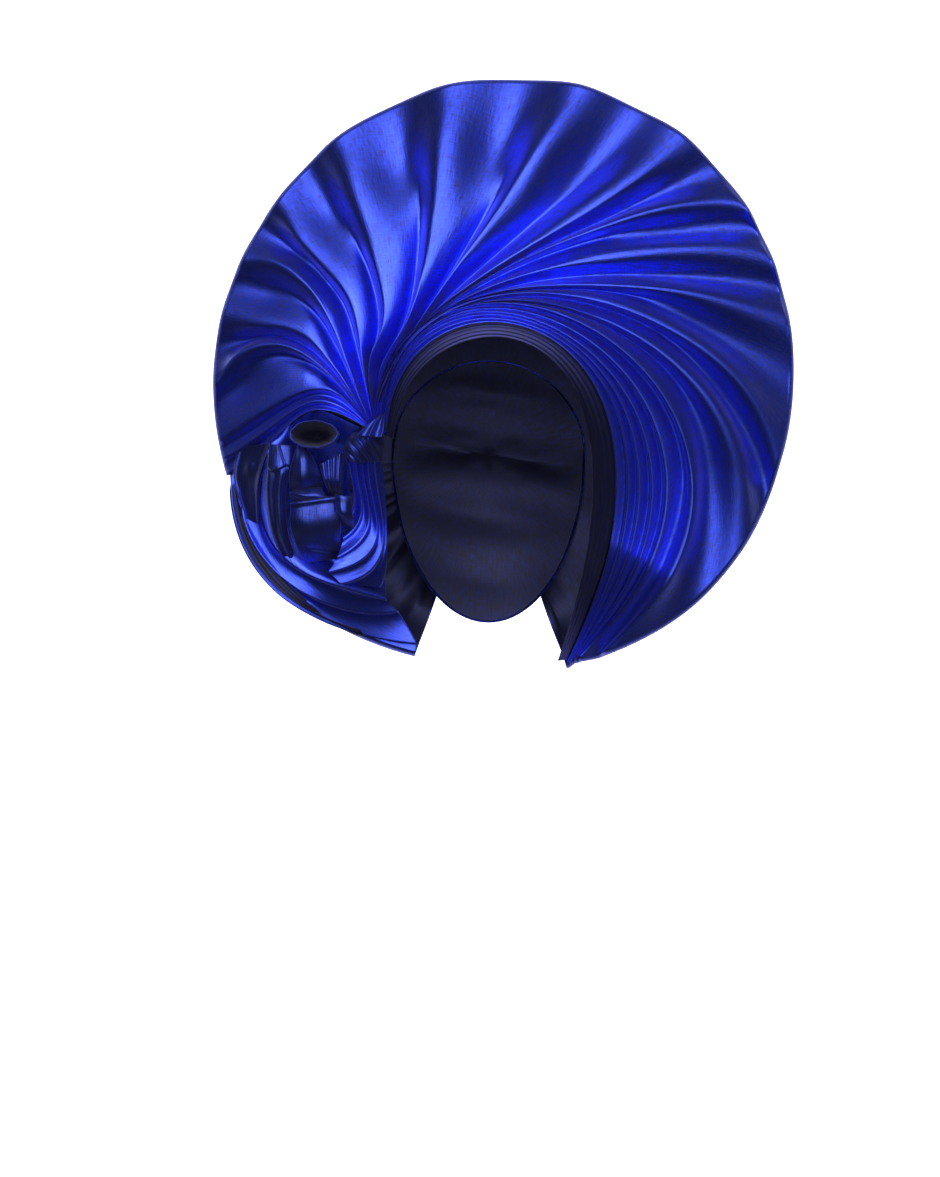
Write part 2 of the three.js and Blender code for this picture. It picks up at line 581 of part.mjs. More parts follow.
// Cup of the rosette: a short rolled tube with an oval mouth that faces forward
const CUP = { x: -112, z: -41, halfWidth: 15, halfHeight: 8.5, mouth: -54, foot: -20, waist: 0.72 };
function cupGeometry() {
  const turns = 20;
  const profile = [
    { size: 1, y: CUP.mouth }, { size: 1.04, y: CUP.mouth + 3 }, { size: CUP.waist, y: CUP.foot },
    { size: CUP.waist - 0.3, y: CUP.foot }, { size: 0.62, y: CUP.mouth + 9 },
    { size: 0.84, y: CUP.mouth + 1 },
  ];
  const positions = [];
  for (const { size, y } of profile) {
    for (let k = 0; k < turns; k += 1) {
      const angle = (k / turns) * 2 * Math.PI;
      const x = CUP.x + CUP.halfWidth * size * Math.cos(angle);
      const z = CUP.z + CUP.halfHeight * size * Math.sin(angle);
      positions.push(x, y, z);
    }
  }
  const faces = [];
  for (let ring = 0; ring < profile.length; ring += 1) {
    const next = (ring + 1) % profile.length;
    for (let k = 0; k < turns; k += 1) {
      const a = ring * turns + k;
      const b = ring * turns + ((k + 1) % turns);
      const c = next * turns + ((k + 1) % turns);
      const d = next * turns + k;
      faces.push(a, c, b, a, d, c);
    }
  }
  return solidGeometry(positions, faces);
}

// Solids, cuts and the finished group
function toSolid(geometry) {
  const vertProperties = Float32Array.from(geometry.attributes.position.array);
  const triVerts = Uint32Array.from(geometry.index.array);
  return new wasm.Manifold(new wasm.Mesh({ numProp: 3, vertProperties, triVerts }));
}

// Takes the cutters off a piece and keeps the biggest part that is left
function clearOf(geometry, cutters) {
  let solid = toSolid(geometry);
  for (const cutter of cutters) solid = solid.subtract(cutter);
  const parts = solid.decompose().sort((a, b) => b.volume() - a.volume());
  const mesh = parts[0].getMesh();
  const result = new THREE.BufferGeometry();
  result.setAttribute('position', new THREE.BufferAttribute(Float32Array.from(mesh.vertProperties), 3));
  result.setIndex(Array.from(mesh.triVerts));
  return mergeVertices(result, 1e-4);
}

const clothMaterial = new THREE.MeshStandardMaterial({ color: 0x1f2cc4, roughness: 0.42, metalness: 0.3 });
const bandMaterial = new THREE.MeshStandardMaterial({ color: 0x20264f, roughness: 0.6, metalness: 0.15 });

const wrap = new THREE.Group();
function addPiece(name, geometry, material = clothMaterial) {
  const mesh = new THREE.Mesh(geometry, material);
  mesh.name = name;
  wrap.add(mesh);
}

// Every piece is cut clear of the pieces before it, which leaves the gap between them
const cutters = [];
function addLayer(name, makeGeometry, material) {
  addPiece(name, clearOf(makeGeometry(0), cutters), material);
  cutters.push(toSolid(makeGeometry(0)), toSolid(makeGeometry(GAP)));
}

addLayer('fan', fanGeometry);
addLayer('lower_sweep', sweepGeometry);
addLayer('brow_band', bandGeometry, bandMaterial);
addLayer('temple_pleats', pleatGeometry);
addPiece('back_wrap', clearOf(domeGeometry(), cutters));
for (const [name, sections] of Object.entries(FOLDED_PIECES)) {
  addLayer(name, (extra) => foldedGeometry(sections, extra));
}
addPiece('rosette_cup', clearOf(cupGeometry(), cutters));

export default wrap;
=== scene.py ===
# Looks of the tied head wrap: the pleated fan, its band, sweep, temple pleats, knot and rosette,
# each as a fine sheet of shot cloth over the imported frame. Lengths are in millimetres until a mesh is
# made, and only the flat sheets and the key light are given in metres.
import math

import bpy
import numpy as np
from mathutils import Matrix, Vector


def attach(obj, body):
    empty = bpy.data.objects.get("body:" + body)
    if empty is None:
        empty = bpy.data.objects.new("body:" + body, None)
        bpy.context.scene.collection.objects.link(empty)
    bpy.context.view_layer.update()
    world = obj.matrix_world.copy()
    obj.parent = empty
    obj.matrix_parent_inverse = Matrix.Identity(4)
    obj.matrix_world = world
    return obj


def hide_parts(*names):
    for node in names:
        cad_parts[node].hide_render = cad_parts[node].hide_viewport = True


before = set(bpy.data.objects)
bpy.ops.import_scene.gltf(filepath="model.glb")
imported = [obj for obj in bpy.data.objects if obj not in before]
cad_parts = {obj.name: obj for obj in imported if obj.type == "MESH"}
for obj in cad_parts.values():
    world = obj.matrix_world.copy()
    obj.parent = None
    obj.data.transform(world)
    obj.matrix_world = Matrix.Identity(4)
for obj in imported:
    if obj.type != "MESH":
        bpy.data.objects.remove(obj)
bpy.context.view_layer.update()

MM = 0.001
# Middle of the head, away from which the outer faces look
HEAD_MIDDLE = np.array([0.0, 30.0, -20.0])
# How far the dull reverse of a sheet and the lining of the fan lie inside it
REVERSE_DEPTH = 3.0
LINING_DEPTH = 2.5
# Steps along a curve before it is divided evenly, and whole places before the noise repeats
CURVE_STEPS = 400
LATTICE = 64

# Driving sizes of the wrap, the same as the solids have
FAN_RADIUS = 191.0
FAN_X, FAN_Z = 9.0, 0.0
RIM_ROLL = 13.0
RIM_INSET = 3.0
FACE = dict(x=0.0, z=-61.0, half_width=66.0, above=78.0, below=128.0)
NAPE = dict(x=0.0, z=-45.0, half_width=64.0, above=62.0, below=112.0)
BROW_DEPTH = -88.0
TEMPLE_DEPTH = -22.0
JAW_DEPTH = 42.0
BACK_DEPTH = 84.0
NAPE_STEP = 14.0
FRONT_PUFF = 24.0
RIM_DEPTH = 2.0
RIM_LEAN = 26.0
BACK_PUFF = 18.0
HEAD_BACK_DEPTH = 100.0
RIM_RELIEF = -0.12
RIM_WAVE = 0.8
PACKED_PITCH = 14.0
STACK_STEP = 3.8
STACK_PLEATS = 4.0
TURN_START = math.pi / 4
TURN_END = math.pi * 0.86

# Places where the rim swells or dips: bearing in degrees, spread in degrees, rise
RIM_SWELLS = [(58, 34, 5), (145, 24, -4), (226, 26, 8), (304, 26, 8)]

# Ridges of the pleats from the brow outwards: two places (x, z) that each passes over, the bearing of
# its end at the rim, its rise, where the valley before the next ridge lies (0 to 1), and how far its
# crest leans (minus is towards the ridge before it)
FAN_RIDGES = [
    # over, over, rim, rise, low, lean
    ((-9, 25), (70, -20), -77.0, 9, 0.70, -0.20),
    ((-8, 27), (77, -22), -76.5, 12, 0.72, -0.25),
    ((-3, 30), (85, -27), -76.0, 12, 0.72, -0.25),
    ((1, 32), (94, -32), -75.5, 13, 0.74, -0.25),
    ((5, 34), (103, -32), -74.5, 16, 0.76, -0.25),
    ((7, 37), (116, -28), -69.0, 26, 0.72, -0.25),
    ((-8, 37), (110, 8), -34.0, 22, 0.74, -0.25),
    ((-8, 39), (109, 26), -17.0, 24, 0.80, -0.20),
    ((-9, 41), (127, 47), 11.0, 26, 0.45, -0.15),
    ((-17, 40), (112, 75), 23.0, 18, 0.72, 0.00),
    ((-28, 36), (92, 96), 34.0, 24, 0.40, -0.15),
    ((-40, 28), (46, 87), 53.0, 26, 0.45, 0.00),
    ((-55, 10), (0, 89), 75.0, 36, 0.24, 0.15),
    ((-64, 8), (-45, 45), 101.0, 34, 0.28, 0.20),
    ((-73, 12), (-67, 42), 126.0, 32, 0.30, 0.20),
    ((-86, 32), (-100, 57), 143.0, 26, 0.32, 0.20),
    ((-94, 13), (-117, 55), 156.0, 28, 0.35, 0.20),
    ((-105, 9), (-130, 26), 168.0, 20, 0.45, 0.10),
    ((-110, 4), (-145, 18), 181.0, 28, 0.20, 0.20),
    ((-100, -14), (-127, -17), 192.5, 12, 0.45, 0.10),
    ((-108, -20), (-134, -30), 196.0, 12, 0.50, 0.10),
    ((-111, -25), (-134, -38), 199.0, 10, 0.50, 0.00),
]
KNOT_START = (-66.0, -41.0)
KNOT_END = (-76.0, -38.0)

# Folds of the lower sweep: start, two places on the way, end, lift and the valley before the next
SWEEP_FOLDS = [
    ((-82, -36), (-91, -72), (-86, -102), (-71, -122), -13, 2),
    ((-112, -22), (-121, -82), (-104, -117), (-70, -136), -15, 2),
    ((-139, -32), (-147, -102), (-112, -133), (-69, -147), 7, 9),
    ((-158, -40), (-156, -108), (-112, -147), (-62, -154), 4, 9),
    ((-168, -46), (-155, -122), (-106, -162), (-49, -176), 3, 8),
]
SWEEP_RIM = (196.0, 252.0)
SWEEP_TUCK = 5.0
SWEEP_EMERGE = 0.14

# Pleats of the temple: start, two places on the way, end, lift
TEMPLE_PLEATS = [
    ((-70, -56), (-68, -86), (-68, -118), (-73, -138), 3),
    ((-74, -56), (-71, -88), (-72, -118), (-97, -136), 8),
    ((-78, -56), (-75, -86), (-76, -112), (-105, -128), 8),
    ((-82, -56), (-79, -82), (-80, -102), (-99, -119), 7),
    ((-86, -56), (-84, -76), (-84, -93), (-95, -107), 6),
    ((-90, -56), (-89, -68), (-88, -82), (-93, -94), 4),
]
PLEAT_VALLEY = 5.0

# Camera: distance from the fan's plane, and the middle of the photograph in that plane
CAMERA_DISTANCE = 1400.0
CAMERA_X = -12.8
CAMERA_Z = -138.9
VIEW_HEIGHT = 776.8
SENSOR = 36.0


# Numbers
def mix(a, b, k):
    return a + (b - a) * k


def smooth(k):
    k = np.clip(k, 0.0, 1.0)
    return k * k * (3.0 - 2.0 * k)


def rising(value, stretch):
    """Smooth step from 0 to 1 over a stretch, which is given as its start and its length."""
    start, length = stretch
    return smooth((value - start) / length)


def bump_at(value, middle, width):
    return np.exp(-(((value - middle) / width) ** 2))


def lattice_noise(u, v, seed):
    """Smooth noise from -1 to 1 over two coordinates, with one random value at each whole place."""
    random = np.random.default_rng(seed)
    table = random.uniform(-1.0, 1.0, (LATTICE, LATTICE))
    iu, iv = np.floor(u).astype(int), np.floor(v).astype(int)
    fu, fv = smooth(u - iu), smooth(v - iv)

    def corner(du, dv):
        return table[(iu + du) % LATTICE, (iv + dv) % LATTICE]

    near = mix(corner(0, 0), corner(1, 0), fu)
    far = mix(corner(0, 1), corner(1, 1), fu)
    return mix(near, far, fv)


# Shape of the bare fan
def rim_radius(angle):
    radius = np.full_like(angle, FAN_RADIUS)
    for at, spread, rise in RIM_SWELLS:
        away = np.arctan2(np.sin(angle - math.radians(at)), np.cos(angle - math.radians(at)))
        radius = radius + rise * bump_at(away, 0.0, math.radians(spread))
    return radius


def egg_radius(egg, angle):
    height = np.where(np.sin(angle) > 0, egg["above"], egg["below"])
    return 1.0 / np.hypot(np.cos(angle) / egg["half_width"], np.sin(angle) / height)


# The front sheet's depth: the stretch over which it goes back to the jaw (by the sine of the angle
# round the face), how much flatter it is over the brow, and how its slope and its puff are spread
JAW_SINE = (0.5, 0.45)
BROW_FLATTER = 0.4
SLOPE_SPREAD = 0.9
PUFF_SPREAD = 0.75


def front_depth(x, z):
    """Depth of the bare front sheet, from the opening's edge out to the rim."""
    face_angle = np.arctan2(z - FACE["z"], x - FACE["x"])
    from_face = np.hypot(x - FACE["x"], z - FACE["z"]) - egg_radius(FACE, face_angle)
    rim_angle = np.arctan2(z - FAN_Z, x - FAN_X)
    to_rim = rim_radius(rim_angle) - RIM_INSET - np.hypot(x - FAN_X, z - FAN_Z)
    from_face, to_rim = np.maximum(from_face, 0.0), np.maximum(to_rim, 0.0)
    part = from_face / np.maximum(from_face + to_rim, 1e-6)
    low = rising(-np.sin(face_angle), JAW_SINE)
    upper = np.maximum(0.0, np.sin(face_angle))
    edge = np.minimum(JAW_DEPTH, mix(TEMPLE_DEPTH, BROW_DEPTH, np.sin(face_angle)))
    rim = mix(RIM_DEPTH - RIM_LEAN * upper, JAW_DEPTH, low)
    puff = FRONT_PUFF * (1 - BROW_FLATTER * upper) * (1 - low)
    return mix(edge, rim, part**SLOPE_SPREAD) - puff * np.sin(np.pi * part**PUFF_SPREAD)


def on_front(place):
    """Places (x, z) put on the bare front sheet, as x, y and z."""
    return np.stack([place[..., 0], front_depth(place[..., 0], place[..., 1]), place[..., 1]], axis=-1)


def curve_through(places, count):
    """Even steps along the cubic curve that passes four places at equal steps of its parameter."""
    a, b, c, d = (np.array(place, float) for place in places)
    leave = (-5 * a + 18 * b - 9 * c + 2 * d) / 6
    arrive = (2 * a - 9 * b + 18 * c - 5 * d) / 6
    t = np.linspace(0.0, 1.0, CURVE_STEPS)[:, None]
    line = (1 - t) ** 3 * a + 3 * (1 - t) ** 2 * t * leave + 3 * (1 - t) * t * t * arrive + t**3 * d
    length = np.concatenate([[0.0], np.cumsum(np.linalg.norm(np.diff(line, axis=0), axis=1))])
    even = np.linspace(0.0, length[-1], count)
    return np.stack([np.interp(even, length, line[:, k]) for k in (0, 1)], axis=1)


def rim_place(degrees):
    angle = np.radians(np.asarray(degrees, float))
    radius = rim_radius(angle) - RIM_INSET
    return np.stack([FAN_X + radius * np.cos(angle), FAN_Z + radius * np.sin(angle)], axis=-1)


# Meshes
def grid_piece(name, places, material, across=None, along=None, loops=False, flip=False):
    """Mesh from a grid of places (rows, columns, 3) in millimetres, with cloth coordinates in metres."""
    rows, columns = places.shape[:2]
    mesh = bpy.data.meshes.new(name)
    piece = bpy.data.objects.new(name, mesh)
    bpy.context.scene.collection.objects.link(piece)
    index = np.arange(rows * columns).reshape(rows, columns)
    if loops:
        index = np.concatenate([index, index[:, :1]], axis=1)
    a, b, c, d = index[:-1, :-1], index[:-1, 1:], index[1:, 1:], index[1:, :-1]
    quads = np.stack([a, d, c, b] if flip else [a, b, c, d], axis=-1).reshape(-1, 4)
    mesh.vertices.add(rows * columns)
    mesh.vertices.foreach_set("co", (places.reshape(-1, 3) * MM).ravel())
    mesh.loops.add(quads.size)
    mesh.loops.foreach_set("vertex_index", quads.ravel().astype(np.int32))
    mesh.polygons.add(len(quads))
    mesh.polygons.foreach_set("loop_start", np.arange(0, quads.size, 4, dtype=np.int32))
    mesh.update(calc_edges=True)
    mesh.polygons.foreach_set("use_smooth", np.ones(len(quads), bool))
    if across is not None:
        cloth = np.stack([across, along], axis=-1).reshape(-1, 2) * MM
        layer = mesh.uv_layers.new(name="cloth")
        layer.data.foreach_set("uv", cloth[quads.ravel()].ravel().astype(np.float32))
    mesh.validate()
    mesh.materials.append(material)
    return piece


def cloth_run(places):
    """Distances in millimetres along the rows and the columns of a grid, for the weave to follow."""
    middle = places[places.shape[0] // 2]
    across = np.concatenate([[0], np.cumsum(np.linalg.norm(np.diff(middle, axis=0), axis=1))])
    steps = np.linalg.norm(np.diff(places, axis=0), axis=2)
    along = np.concatenate([np.zeros((1, places.shape[1])), np.cumsum(steps, axis=0)])
    return np.broadcast_to(across, places.shape[:2]), along


def outward_normals(places):
    """Unit normals of a grid that point away from the middle of the head."""
    down, across = np.gradient(places, axis=0), np.gradient(places, axis=1)
    normal = np.cross(down, across)
    normal /= np.maximum(np.linalg.norm(normal, axis=-1, keepdims=True), 1e-9)
    return normal if (normal * (places - HEAD_MIDDLE)).sum() > 0 else -normal


def inward_faces(places):
    """True where the grid's faces, taken in order, would point into the head."""
    normal = np.cross(np.gradient(places, axis=1), np.gradient(places, axis=0))
    return (normal * (places - HEAD_MIDDLE)).sum() < 0


def settle(piece, node):
    """Puts a piece on the only body, in place of a node of the solids if one is given."""
    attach(piece, "root")
    if node:
        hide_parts(node)


def reverse_side(name, places, every=(3, 3), loops=False, depth=REVERSE_DEPTH):
    """The cloth's dull reverse, a little inside the given sheet, on a coarser grid. Its dark colour is
    partly the reverse's own duller weave and partly painted shade for the hollow it lines.
    """
    rows = np.unique(np.append(np.arange(0, places.shape[0], every[0]), places.shape[0] - 1))
    columns = np.arange(0, places.shape[1], every[1])
    if not loops:
        columns = np.unique(np.append(columns, places.shape[1] - 1))
    inner = (places - outward_normals(places) * depth)[rows][:, columns]
    piece = grid_piece(name, inner, reverse_and_shade, *cloth_run(inner), loops=loops, flip=inward_faces(inner))
    settle(piece, None)


# Materials
def new_material(name):
    material = bpy.data.materials.new(name)
    material.use_nodes = True
    nodes = material.node_tree.nodes
    nodes.clear()
    output = nodes.new("ShaderNodeOutputMaterial")
    shader = nodes.new("ShaderNodeBsdfPrincipled")
    material.node_tree.links.new(shader.outputs["BSDF"], output.inputs["Surface"])
    return material, nodes, material.node_tree.links, shader


def set_values(node, values):
    for name, value in values.items():
        node.inputs[name].default_value = value


def add_node(nodes, kind, values):
    """New node of a kind, with the given values on its inputs."""
    node = nodes.new(kind)
    set_values(node, values)
    return node


# Gloss of every cloth
CLOTH_GLOSS = {
    "Specular IOR Level": 0.35,
    "Sheen Weight": 0.12,
    "Sheen Roughness": 0.45,
    "Sheen Tint": (0.45, 0.43, 0.62, 1.0),
    "Anisotropic": 0.4,
    "Anisotropic Rotation": 0.25,
}

# Weave: marks to the metre along a rib and along a pick, how much wider a pick is than a rib, the
# picks' part in the pattern, and the height of its relief in metres
RIB_MARKS = 110.0
PICK_MARKS = 160.0
PICK_PITCH = 1.2
PICK_PART = 0.38
WEAVE_RELIEF = 0.0005

# Height of the pattern where the blue threads begin to cover the grey ones and where they hide them,
# and how far a full share of blue threads lowers both
COVER_START = 0.54
COVER_END = 0.9
COVER_SHARE = 0.43

# How metallic the grey threads are beside the blue ones, and how roughness varies about its middle
GREY_METAL = 0.86
ROUGHNESS_SPREAD = 0.06


def shot_cloth(name, blue, grey, share, roughness, rib, bump):
    """Blue threads over grey ones, both with a metallic shine that is a little weaker on the grey.
    share is the part of the surface that the blue threads cover, rib their pitch in millimetres."""
    material, nodes, links, shader = new_material(name)
    set_values(shader, CLOTH_GLOSS)
    thread_way = nodes.new("ShaderNodeTangent")
    thread_way.direction_type = "UV_MAP"
    thread_way.uv_map = "cloth"
    links.new(thread_way.outputs["Tangent"], shader.inputs["Tangent"])
    cloth = nodes.new("ShaderNodeUVMap")
    cloth.uv_map = "cloth"

    def threads(across, along):
        scale = add_node(nodes, "ShaderNodeMapping", {"Scale": (across, along, 1.0)})
        noise = add_node(nodes, "ShaderNodeTexNoise", {"Scale": 1.0, "Detail": 1.0})
        links.new(cloth.outputs["UV"], scale.inputs["Vector"])
        links.new(scale.outputs["Vector"], noise.inputs["Vector"])
        return noise.outputs["Fac"]

    ribs = threads(1.0 / (rib * MM), RIB_MARKS)
    picks = threads(PICK_MARKS, 1.0 / (rib * PICK_PITCH * MM))
    weave = add_node(nodes, "ShaderNodeMix", {"Factor": PICK_PART})
    links.new(ribs, weave.inputs["A"])
    links.new(picks, weave.inputs["B"])

    shift = COVER_SHARE * share
    range_of_cover = {"From Min": COVER_START - shift, "From Max": COVER_END - shift}
    cover = add_node(nodes, "ShaderNodeMapRange", range_of_cover)
    links.new(weave.outputs["Result"], cover.inputs["Value"])
    tone = nodes.new("ShaderNodeValToRGB")
    tone.color_ramp.elements[0].color = (*grey, 1.0)
    tone.color_ramp.elements[1].color = (*blue, 1.0)
    links.new(cover.outputs["Result"], tone.inputs["Fac"])
    links.new(tone.outputs["Color"], shader.inputs["Base Color"])

    metal = add_node(nodes, "ShaderNodeMapRange", {"To Min": GREY_METAL, "To Max": 1.0})
    links.new(cover.outputs["Result"], metal.inputs["Value"])
    links.new(metal.outputs["Result"], shader.inputs["Metallic"])
    dull, shiny = roughness + ROUGHNESS_SPREAD, roughness - ROUGHNESS_SPREAD
    gloss = add_node(nodes, "ShaderNodeMapRange", {"To Min": dull, "To Max": shiny})
    links.new(weave.outputs["Result"], gloss.inputs["Value"])
    links.new(gloss.outputs["Result"], shader.inputs["Roughness"])
    relief = add_node(nodes, "ShaderNodeBump", {"Strength": bump, "Distance": WEAVE_RELIEF})
    links.new(weave.outputs["Result"], relief.inputs["Height"])
    links.new(relief.outputs["Normal"], shader.inputs["Normal"])
    return material


def paper(name, color, roughness, glow):
    """Matt studio paper that glows evenly by itself."""
    material, _, _, shader = new_material(name)
    set_values(shader, {
        "Base Color": (*color, 1.0),
        "Roughness": roughness,
        "Emission Color": (*color, 1.0),
        "Emission Strength": glow,
    })
    return material


satin = shot_cloth(
    "shot_satin", blue=(0.06, 0.11, 1.0), grey=(0.05, 0.05, 0.1),
    share=0.7, roughness=0.37, rib=0.8, bump=0.45)
# Darker, duller copy of the satin for the knot and rosette pieces: painted shade, standing in for the shade
# among their close folds.
shaded_satin = shot_cloth(
    "shaded_satin", blue=(0.035, 0.065, 0.45), grey=(0.03, 0.03, 0.055),
    share=0.6, roughness=0.44, rib=0.8, bump=0.5)
band_cloth = shot_cloth(
    "band_cloth", blue=(0.04, 0.045, 0.24), grey=(0.04, 0.04, 0.085),
    share=0.4, roughness=0.5, rib=0.9, bump=0.5)
# Dark reverse of the cloth: partly the duller weft face of its real reverse side, partly painted shade,
# kept dark so that the inside of the wrap and of the cup reads as shade.
reverse_and_shade = shot_cloth(
    "cloth_reverse_and_shade", blue=(0.02, 0.025, 0.12), grey=(0.02, 0.02, 0.035),
    share=0.3, roughness=0.55, rib=0.8, bump=0.3)


# Fan: rows of its mesh from the knot to the rim, round the rim and behind, and its columns between
# each two ridges, more where the folds are wide
ALONG_FRONT = 230
TURN_ROWS = 13
BACK_ROWS = 14
GAP_COLUMNS = [8] * 5 + [18, 16, 16, 16, 16, 18, 20, 24, 24, 22, 20, 18, 16, 16, 10, 8]

# Stretches over which a feature sets in, each with its start and its length. Those called PITCH are
# in millimetres from ridge to ridge, those called WAY in parts of the way from the knot to the rim.
WIDE_PITCH = (8.0, 16.0)
EASED_PITCH = (12.0, 30.0)
STACK_PITCH = (4.0, 10.0)
CREASE_PITCH = (6.0, 20.0)
STACK_WAY = (0.0, 0.2)
LOBE_WAY = (0.55, 0.3)
RIM_WAY = (0.7, 0.3)
TILT_WAY = (0.6, 0.4)

# How sharply narrow and wide folds turn over, how much of a wide fold's height is lost, how much is
# added to the narrow pleats round the face, how strongly a crest leans, and the pitch that halves it
NARROW_TURN = 1.3
WIDE_TURN = 1.8
BROAD_EASE = 0.25
STACK_RELIEF = 0.8
CREST_LEAN = 1.4
LEAN_PITCH = 14.0

# Soft creases on the folds: height, how many to a ridge, how many from the knot to the rim, seed
FAN_CREASES = [(0.9, 2.3, 5, 3), (0.3, 6.1, 9, 4)]
CREASE_SPREAD = 0.7


def fan_columns():
    """Column positions, counted in ridges."""
    columns = [np.arange(i, i + 1, 1.0 / n) for i, n in enumerate(GAP_COLUMNS)]
    return np.concatenate([*columns, [len(GAP_COLUMNS)]])


def ridge_grid(rows):
    last = len(FAN_RIDGES) - 1
    lines = []
    for i, (first, second, rim, *_) in enumerate(FAN_RIDGES):
        k = i / last
        start = (mix(KNOT_START[0], KNOT_END[0], k), mix(KNOT_START[1], KNOT_END[1], k))
        lines.append(curve_through([start, first, second, tuple(rim_place(rim))], rows))
    return np.array(lines)


def polar(places):
    angle = np.arctan2(places[..., 1] - FAN_Z, places[..., 0] - FAN_X)
    angle = np.where(angle < -np.pi / 2, angle + 2 * np.pi, angle)
    return angle, np.hypot(places[..., 0] - FAN_X, places[..., 1] - FAN_Z)


def on_ridges(ridges, column, row):
    """Places between ridges at fractional columns, measured round the middle of the fan."""
    i = np.clip(np.floor(column).astype(int), 0, len(ridges) - 2)
    part = column - i
    angle_a, reach_a = polar(ridges[i, row])
    angle_b, reach_b = polar(ridges[i + 1, row])
    angle, reach = mix(angle_a, angle_b, part), mix(reach_a, reach_b, part)
    return np.stack([FAN_X + reach * np.cos(angle), FAN_Z + reach * np.sin(angle)], axis=-1)


def fold_profile(part, low, pitch, along):
    """Height of a fold between two ridges: 1 on a ridge, 0 in the valley, which lies at low."""
    turn = np.clip(np.where(part < low, part / low, (1 - part) / (1 - low)), 0, 1)
    broad = rising(pitch, WIDE_PITCH)
    fold = 1 - mix(np.sin(turn * np.pi / 2) ** NARROW_TURN, turn**WIDE_TURN, broad)
    return mix(fold, np.cos(np.pi * part) ** 2, broad * rising(along, LOBE_WAY))


def fold_size(rise, pitch, along):
    """Height from valley to ridge of a fold that may rise so far at its widest."""
    size = rise * pitch / (pitch + PACKED_PITCH) * (1 - BROAD_EASE * rising(pitch, EASED_PITCH))
    return size * (1 + STACK_RELIEF * (1 - rising(pitch, STACK_PITCH)) * rising(along, STACK_WAY))


def way_out(place):
    """Unit direction (x, z) from the middle of the fan."""
    away = place - np.array([FAN_X, FAN_Z])
    return away / np.linalg.norm(away, axis=-1, keepdims=True)


def fan_front():
    """Places of the bare front sheet, the folds' shift from it, the way outwards, and half of each
    fold's size, row by row."""
    ridges = ridge_grid(ALONG_FRONT)
    rise_of, low_of, lean_of = np.array([ridge[3:] for ridge in FAN_RIDGES]).T
    column, row = np.meshgrid(fan_columns(), np.arange(ALONG_FRONT))
    along = row / (ALONG_FRONT - 1)
    i = np.minimum(np.floor(column).astype(int), len(FAN_RIDGES) - 2)
    part = column - i
    pitch = np.linalg.norm(ridges[i, row] - ridges[i + 1, row], axis=-1)
    fold = fold_profile(part, low_of[i], pitch, along)

    lean = mix(lean_of[i], lean_of[i + 1], smooth(part)) * CREST_LEAN * LEAN_PITCH / (pitch + LEAN_PITCH)
    shifted = np.clip(column + lean * (fold - 1), 0, len(FAN_RIDGES) - 1)
    place = on_ridges(ridges, shifted, row)

    size = fold_size(mix(rise_of[i], rise_of[i + 1], part), pitch, along)
    height = size * (fold - 0.5)
    soft = rising(pitch, CREASE_PITCH) * np.sin(np.pi * along) ** CREASE_SPREAD
    for high, to_a_ridge, to_the_rim, seed in FAN_CREASES:
        height += high * soft * lattice_noise(column * to_a_ridge, along * to_the_rim, seed)

    step = STACK_STEP * (1 - smooth(column / STACK_PLEATS))
    near_rim = rising(along, RIM_WAY)
    tilt = TURN_START * rising(along, TILT_WAY)
    outward = way_out(place)
    forward = step * np.cos(tilt) + height * (1 - (1 - RIM_WAVE) * near_rim)
    out = (step + height * (1 - (1 - RIM_RELIEF) * near_rim)) * np.sin(tilt)
    shift = np.stack([outward[..., 0] * out, -forward, outward[..., 1] * out], axis=-1)
    return on_front(place), shift, outward, 0.5 * size


def nape_places(base):
    angle = np.arctan2(base[:, 2] - NAPE["z"], base[:, 0] - NAPE["x"])
    radius = egg_radius(NAPE, angle)
    x, z = NAPE["x"] + radius * np.cos(angle), NAPE["z"] + radius * np.sin(angle)
    return np.stack([x, BACK_DEPTH - NAPE_STEP * smooth(-np.sin(angle)), z], axis=-1)


def turned_edge(edge, outward, angle):
    """Places of the front sheet's edge, carried round the roll of the rim to an angle."""
    out = RIM_ROLL * (math.sin(angle) - math.sin(TURN_START))
    back = RIM_ROLL * (math.cos(TURN_START) - math.cos(angle))
    return edge + np.stack([outward[:, 0] * out, np.full(len(edge), back), outward[:, 1] * out], axis=-1)


# Sheet behind: how much of a fold's shift is left after the turn at the rim, how fast it fades, the
# gathers (height, how many to a radian) and how they are spread from the rim to the nape
BACK_SHIFT = 0.8
BACK_FADE = 0.6
GATHERS = [(3.2, 12), (1.6, 31)]
GATHER_PLACE = 1.6
GATHER_SPREAD = 0.8
# Hem at the nape: its size round the middle of the nape and its depth from the edge
NAPE_HEM = [(0.985, -1.2), (1.01, -3.2)]


